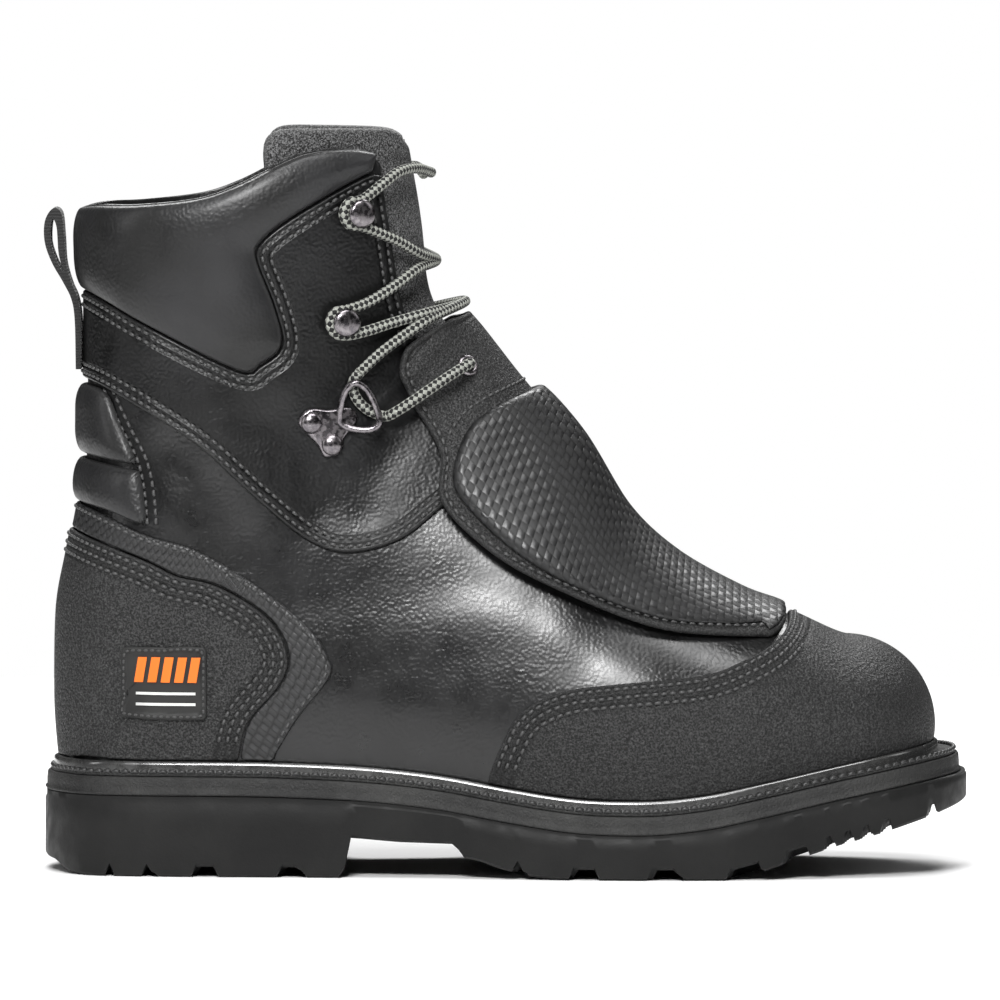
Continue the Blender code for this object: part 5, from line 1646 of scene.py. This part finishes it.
def stage_and_light():
    floor = bpy.data.meshes.new("floor")
    size = FLOOR_HALF
    floor.from_pydata([(-size, -size, 0), (size, -size, 0), (size, size, 0), (-size, size, 0)],
                      [], [(0, 1, 2, 3)])
    piece = bpy.data.objects.new("floor", floor)
    bpy.context.scene.collection.objects.link(piece)
    look = Look("floor_white", (0.97, 0.97, 0.97), 0.7)
    floor.materials.append(look.material)
    world = bpy.data.worlds.new("studio")
    world.use_nodes = True
    back = world.node_tree.nodes["Background"]
    back.inputs["Color"].default_value = (1.0, 1.0, 1.0, 1.0)
    seen = world.node_tree.nodes.new("ShaderNodeLightPath")
    share = world.node_tree.nodes.new("ShaderNodeMapRange")
    share.inputs["To Min"].default_value = WORLD_STRENGTH
    share.inputs["To Max"].default_value = 1.0
    world.node_tree.links.new(seen.outputs["Is Camera Ray"], share.inputs["Value"])
    world.node_tree.links.new(share.outputs["Result"], back.inputs["Strength"])
    bpy.context.scene.world = world
    bpy.context.scene.view_settings.view_transform = "Standard"
    for name, place, aim, size_x, size_y, power in LIGHTS[1:]:
        lamp = bpy.data.lights.new(name, "AREA")
        lamp.shape = "RECTANGLE"
        lamp.size, lamp.size_y, lamp.energy = size_x, size_y, power
        holder = bpy.data.objects.new(name, lamp)
        holder.location = place
        holder.rotation_euler = (Vector(aim) - Vector(place)).to_track_quat("-Z", "Y").to_euler()
        bpy.context.scene.collection.objects.link(holder)


def add_camera():
    lens = bpy.data.cameras.new("camera")
    camera = bpy.data.objects.new("camera", lens)
    aim = Vector(CAMERA_AIM)
    tilt = math.radians(CAMERA_ELEVATION)
    camera.location = aim + Vector((0, -math.cos(tilt), math.sin(tilt))) * CAMERA_DISTANCE
    camera.rotation_euler = (aim - camera.location).to_track_quat("-Z", "Y").to_euler()
    lens.sensor_width = SENSOR_WIDTH
    lens.lens = SENSOR_WIDTH * CAMERA_DISTANCE / VIEW_WIDTH
    lens.clip_end = 50.0
    bpy.context.scene.collection.objects.link(camera)
    bpy.context.scene.camera = camera


def main():
    looks = {
        "vamp": smooth_leather("vamp_leather", (), 0.005, 0.33, 0.55),
        "quarter": smooth_leather("quarter_leather_look", QUARTER_SEAMS, 0.004, 0.38),
        "toe": grained_leather("toe_grain", TOE_SEAMS, 0.008, 1.2, 0.45),
        "counter": grained_leather("counter_grain", COUNTER_SEAMS, 0.011, 1.2, 0.45),
        "flap": grained_leather("flap_grain", (FLAP_SEAM,), 0.013, 1.1, 0.36),
        # The tongue's grained leather is much lighter than the others. Part of this is its own tone, and
        # part is a painted highlight for the light on its top.
        "tongue": grained_leather("tongue_grain_with_painted_highlight", (), 0.050, 1.0, 0.40),
        "strip": woven("strip_weave", 0.018),
        "weave": woven("guard_weave", 0.011),
        "collar": smooth_leather("collar_leather", (), 0.014, 0.44),
        "badge": rubber("badge_black", 0.018, 0.55),
        "orange": rubber("badge_orange", 0.3, colour=(0.78, 0.17, 0.02)),
        "pale": rubber("badge_pale", 0.5),
        "outsole": rubber("outsole_black", 0.007, 0.52, 0.9, 0.05, 0.0, 0.25),
        "midsole": rubber("midsole_black", 0.020, 0.58, 0.8, 0.55),
        "bead": rubber("bead_black", 0.030, 0.24, 1.2, 0.02, 1.0, 1.0),
        "insole": ribbed_fabric("insole_felt", (0.06, 0.06, 0.06)),
        "webbing": ribbed_fabric("loop_webbing", (0.010, 0.010, 0.010)),
        "metal": metal("dark_nickel_metal"),
        "lace": braid("lace_braid"),
        "thread": thread("seam_thread", 0.045),
        "welt_thread": thread("welt_thread", 0.018),
    }
    toe, counter, strip, quarter = dress_upper(looks)
    dress_padding(looks)
    dress_tongue(looks)
    flap = dress_guard(looks)
    badge = dress_badge(looks)
    dress_sole(looks)
    dress_loop(looks)
    dress_hardware(looks)
    dress_laces(looks)
    sew(looks, toe, counter, strip, quarter, flap, badge)
    stage_and_light()
    add_camera()


main()
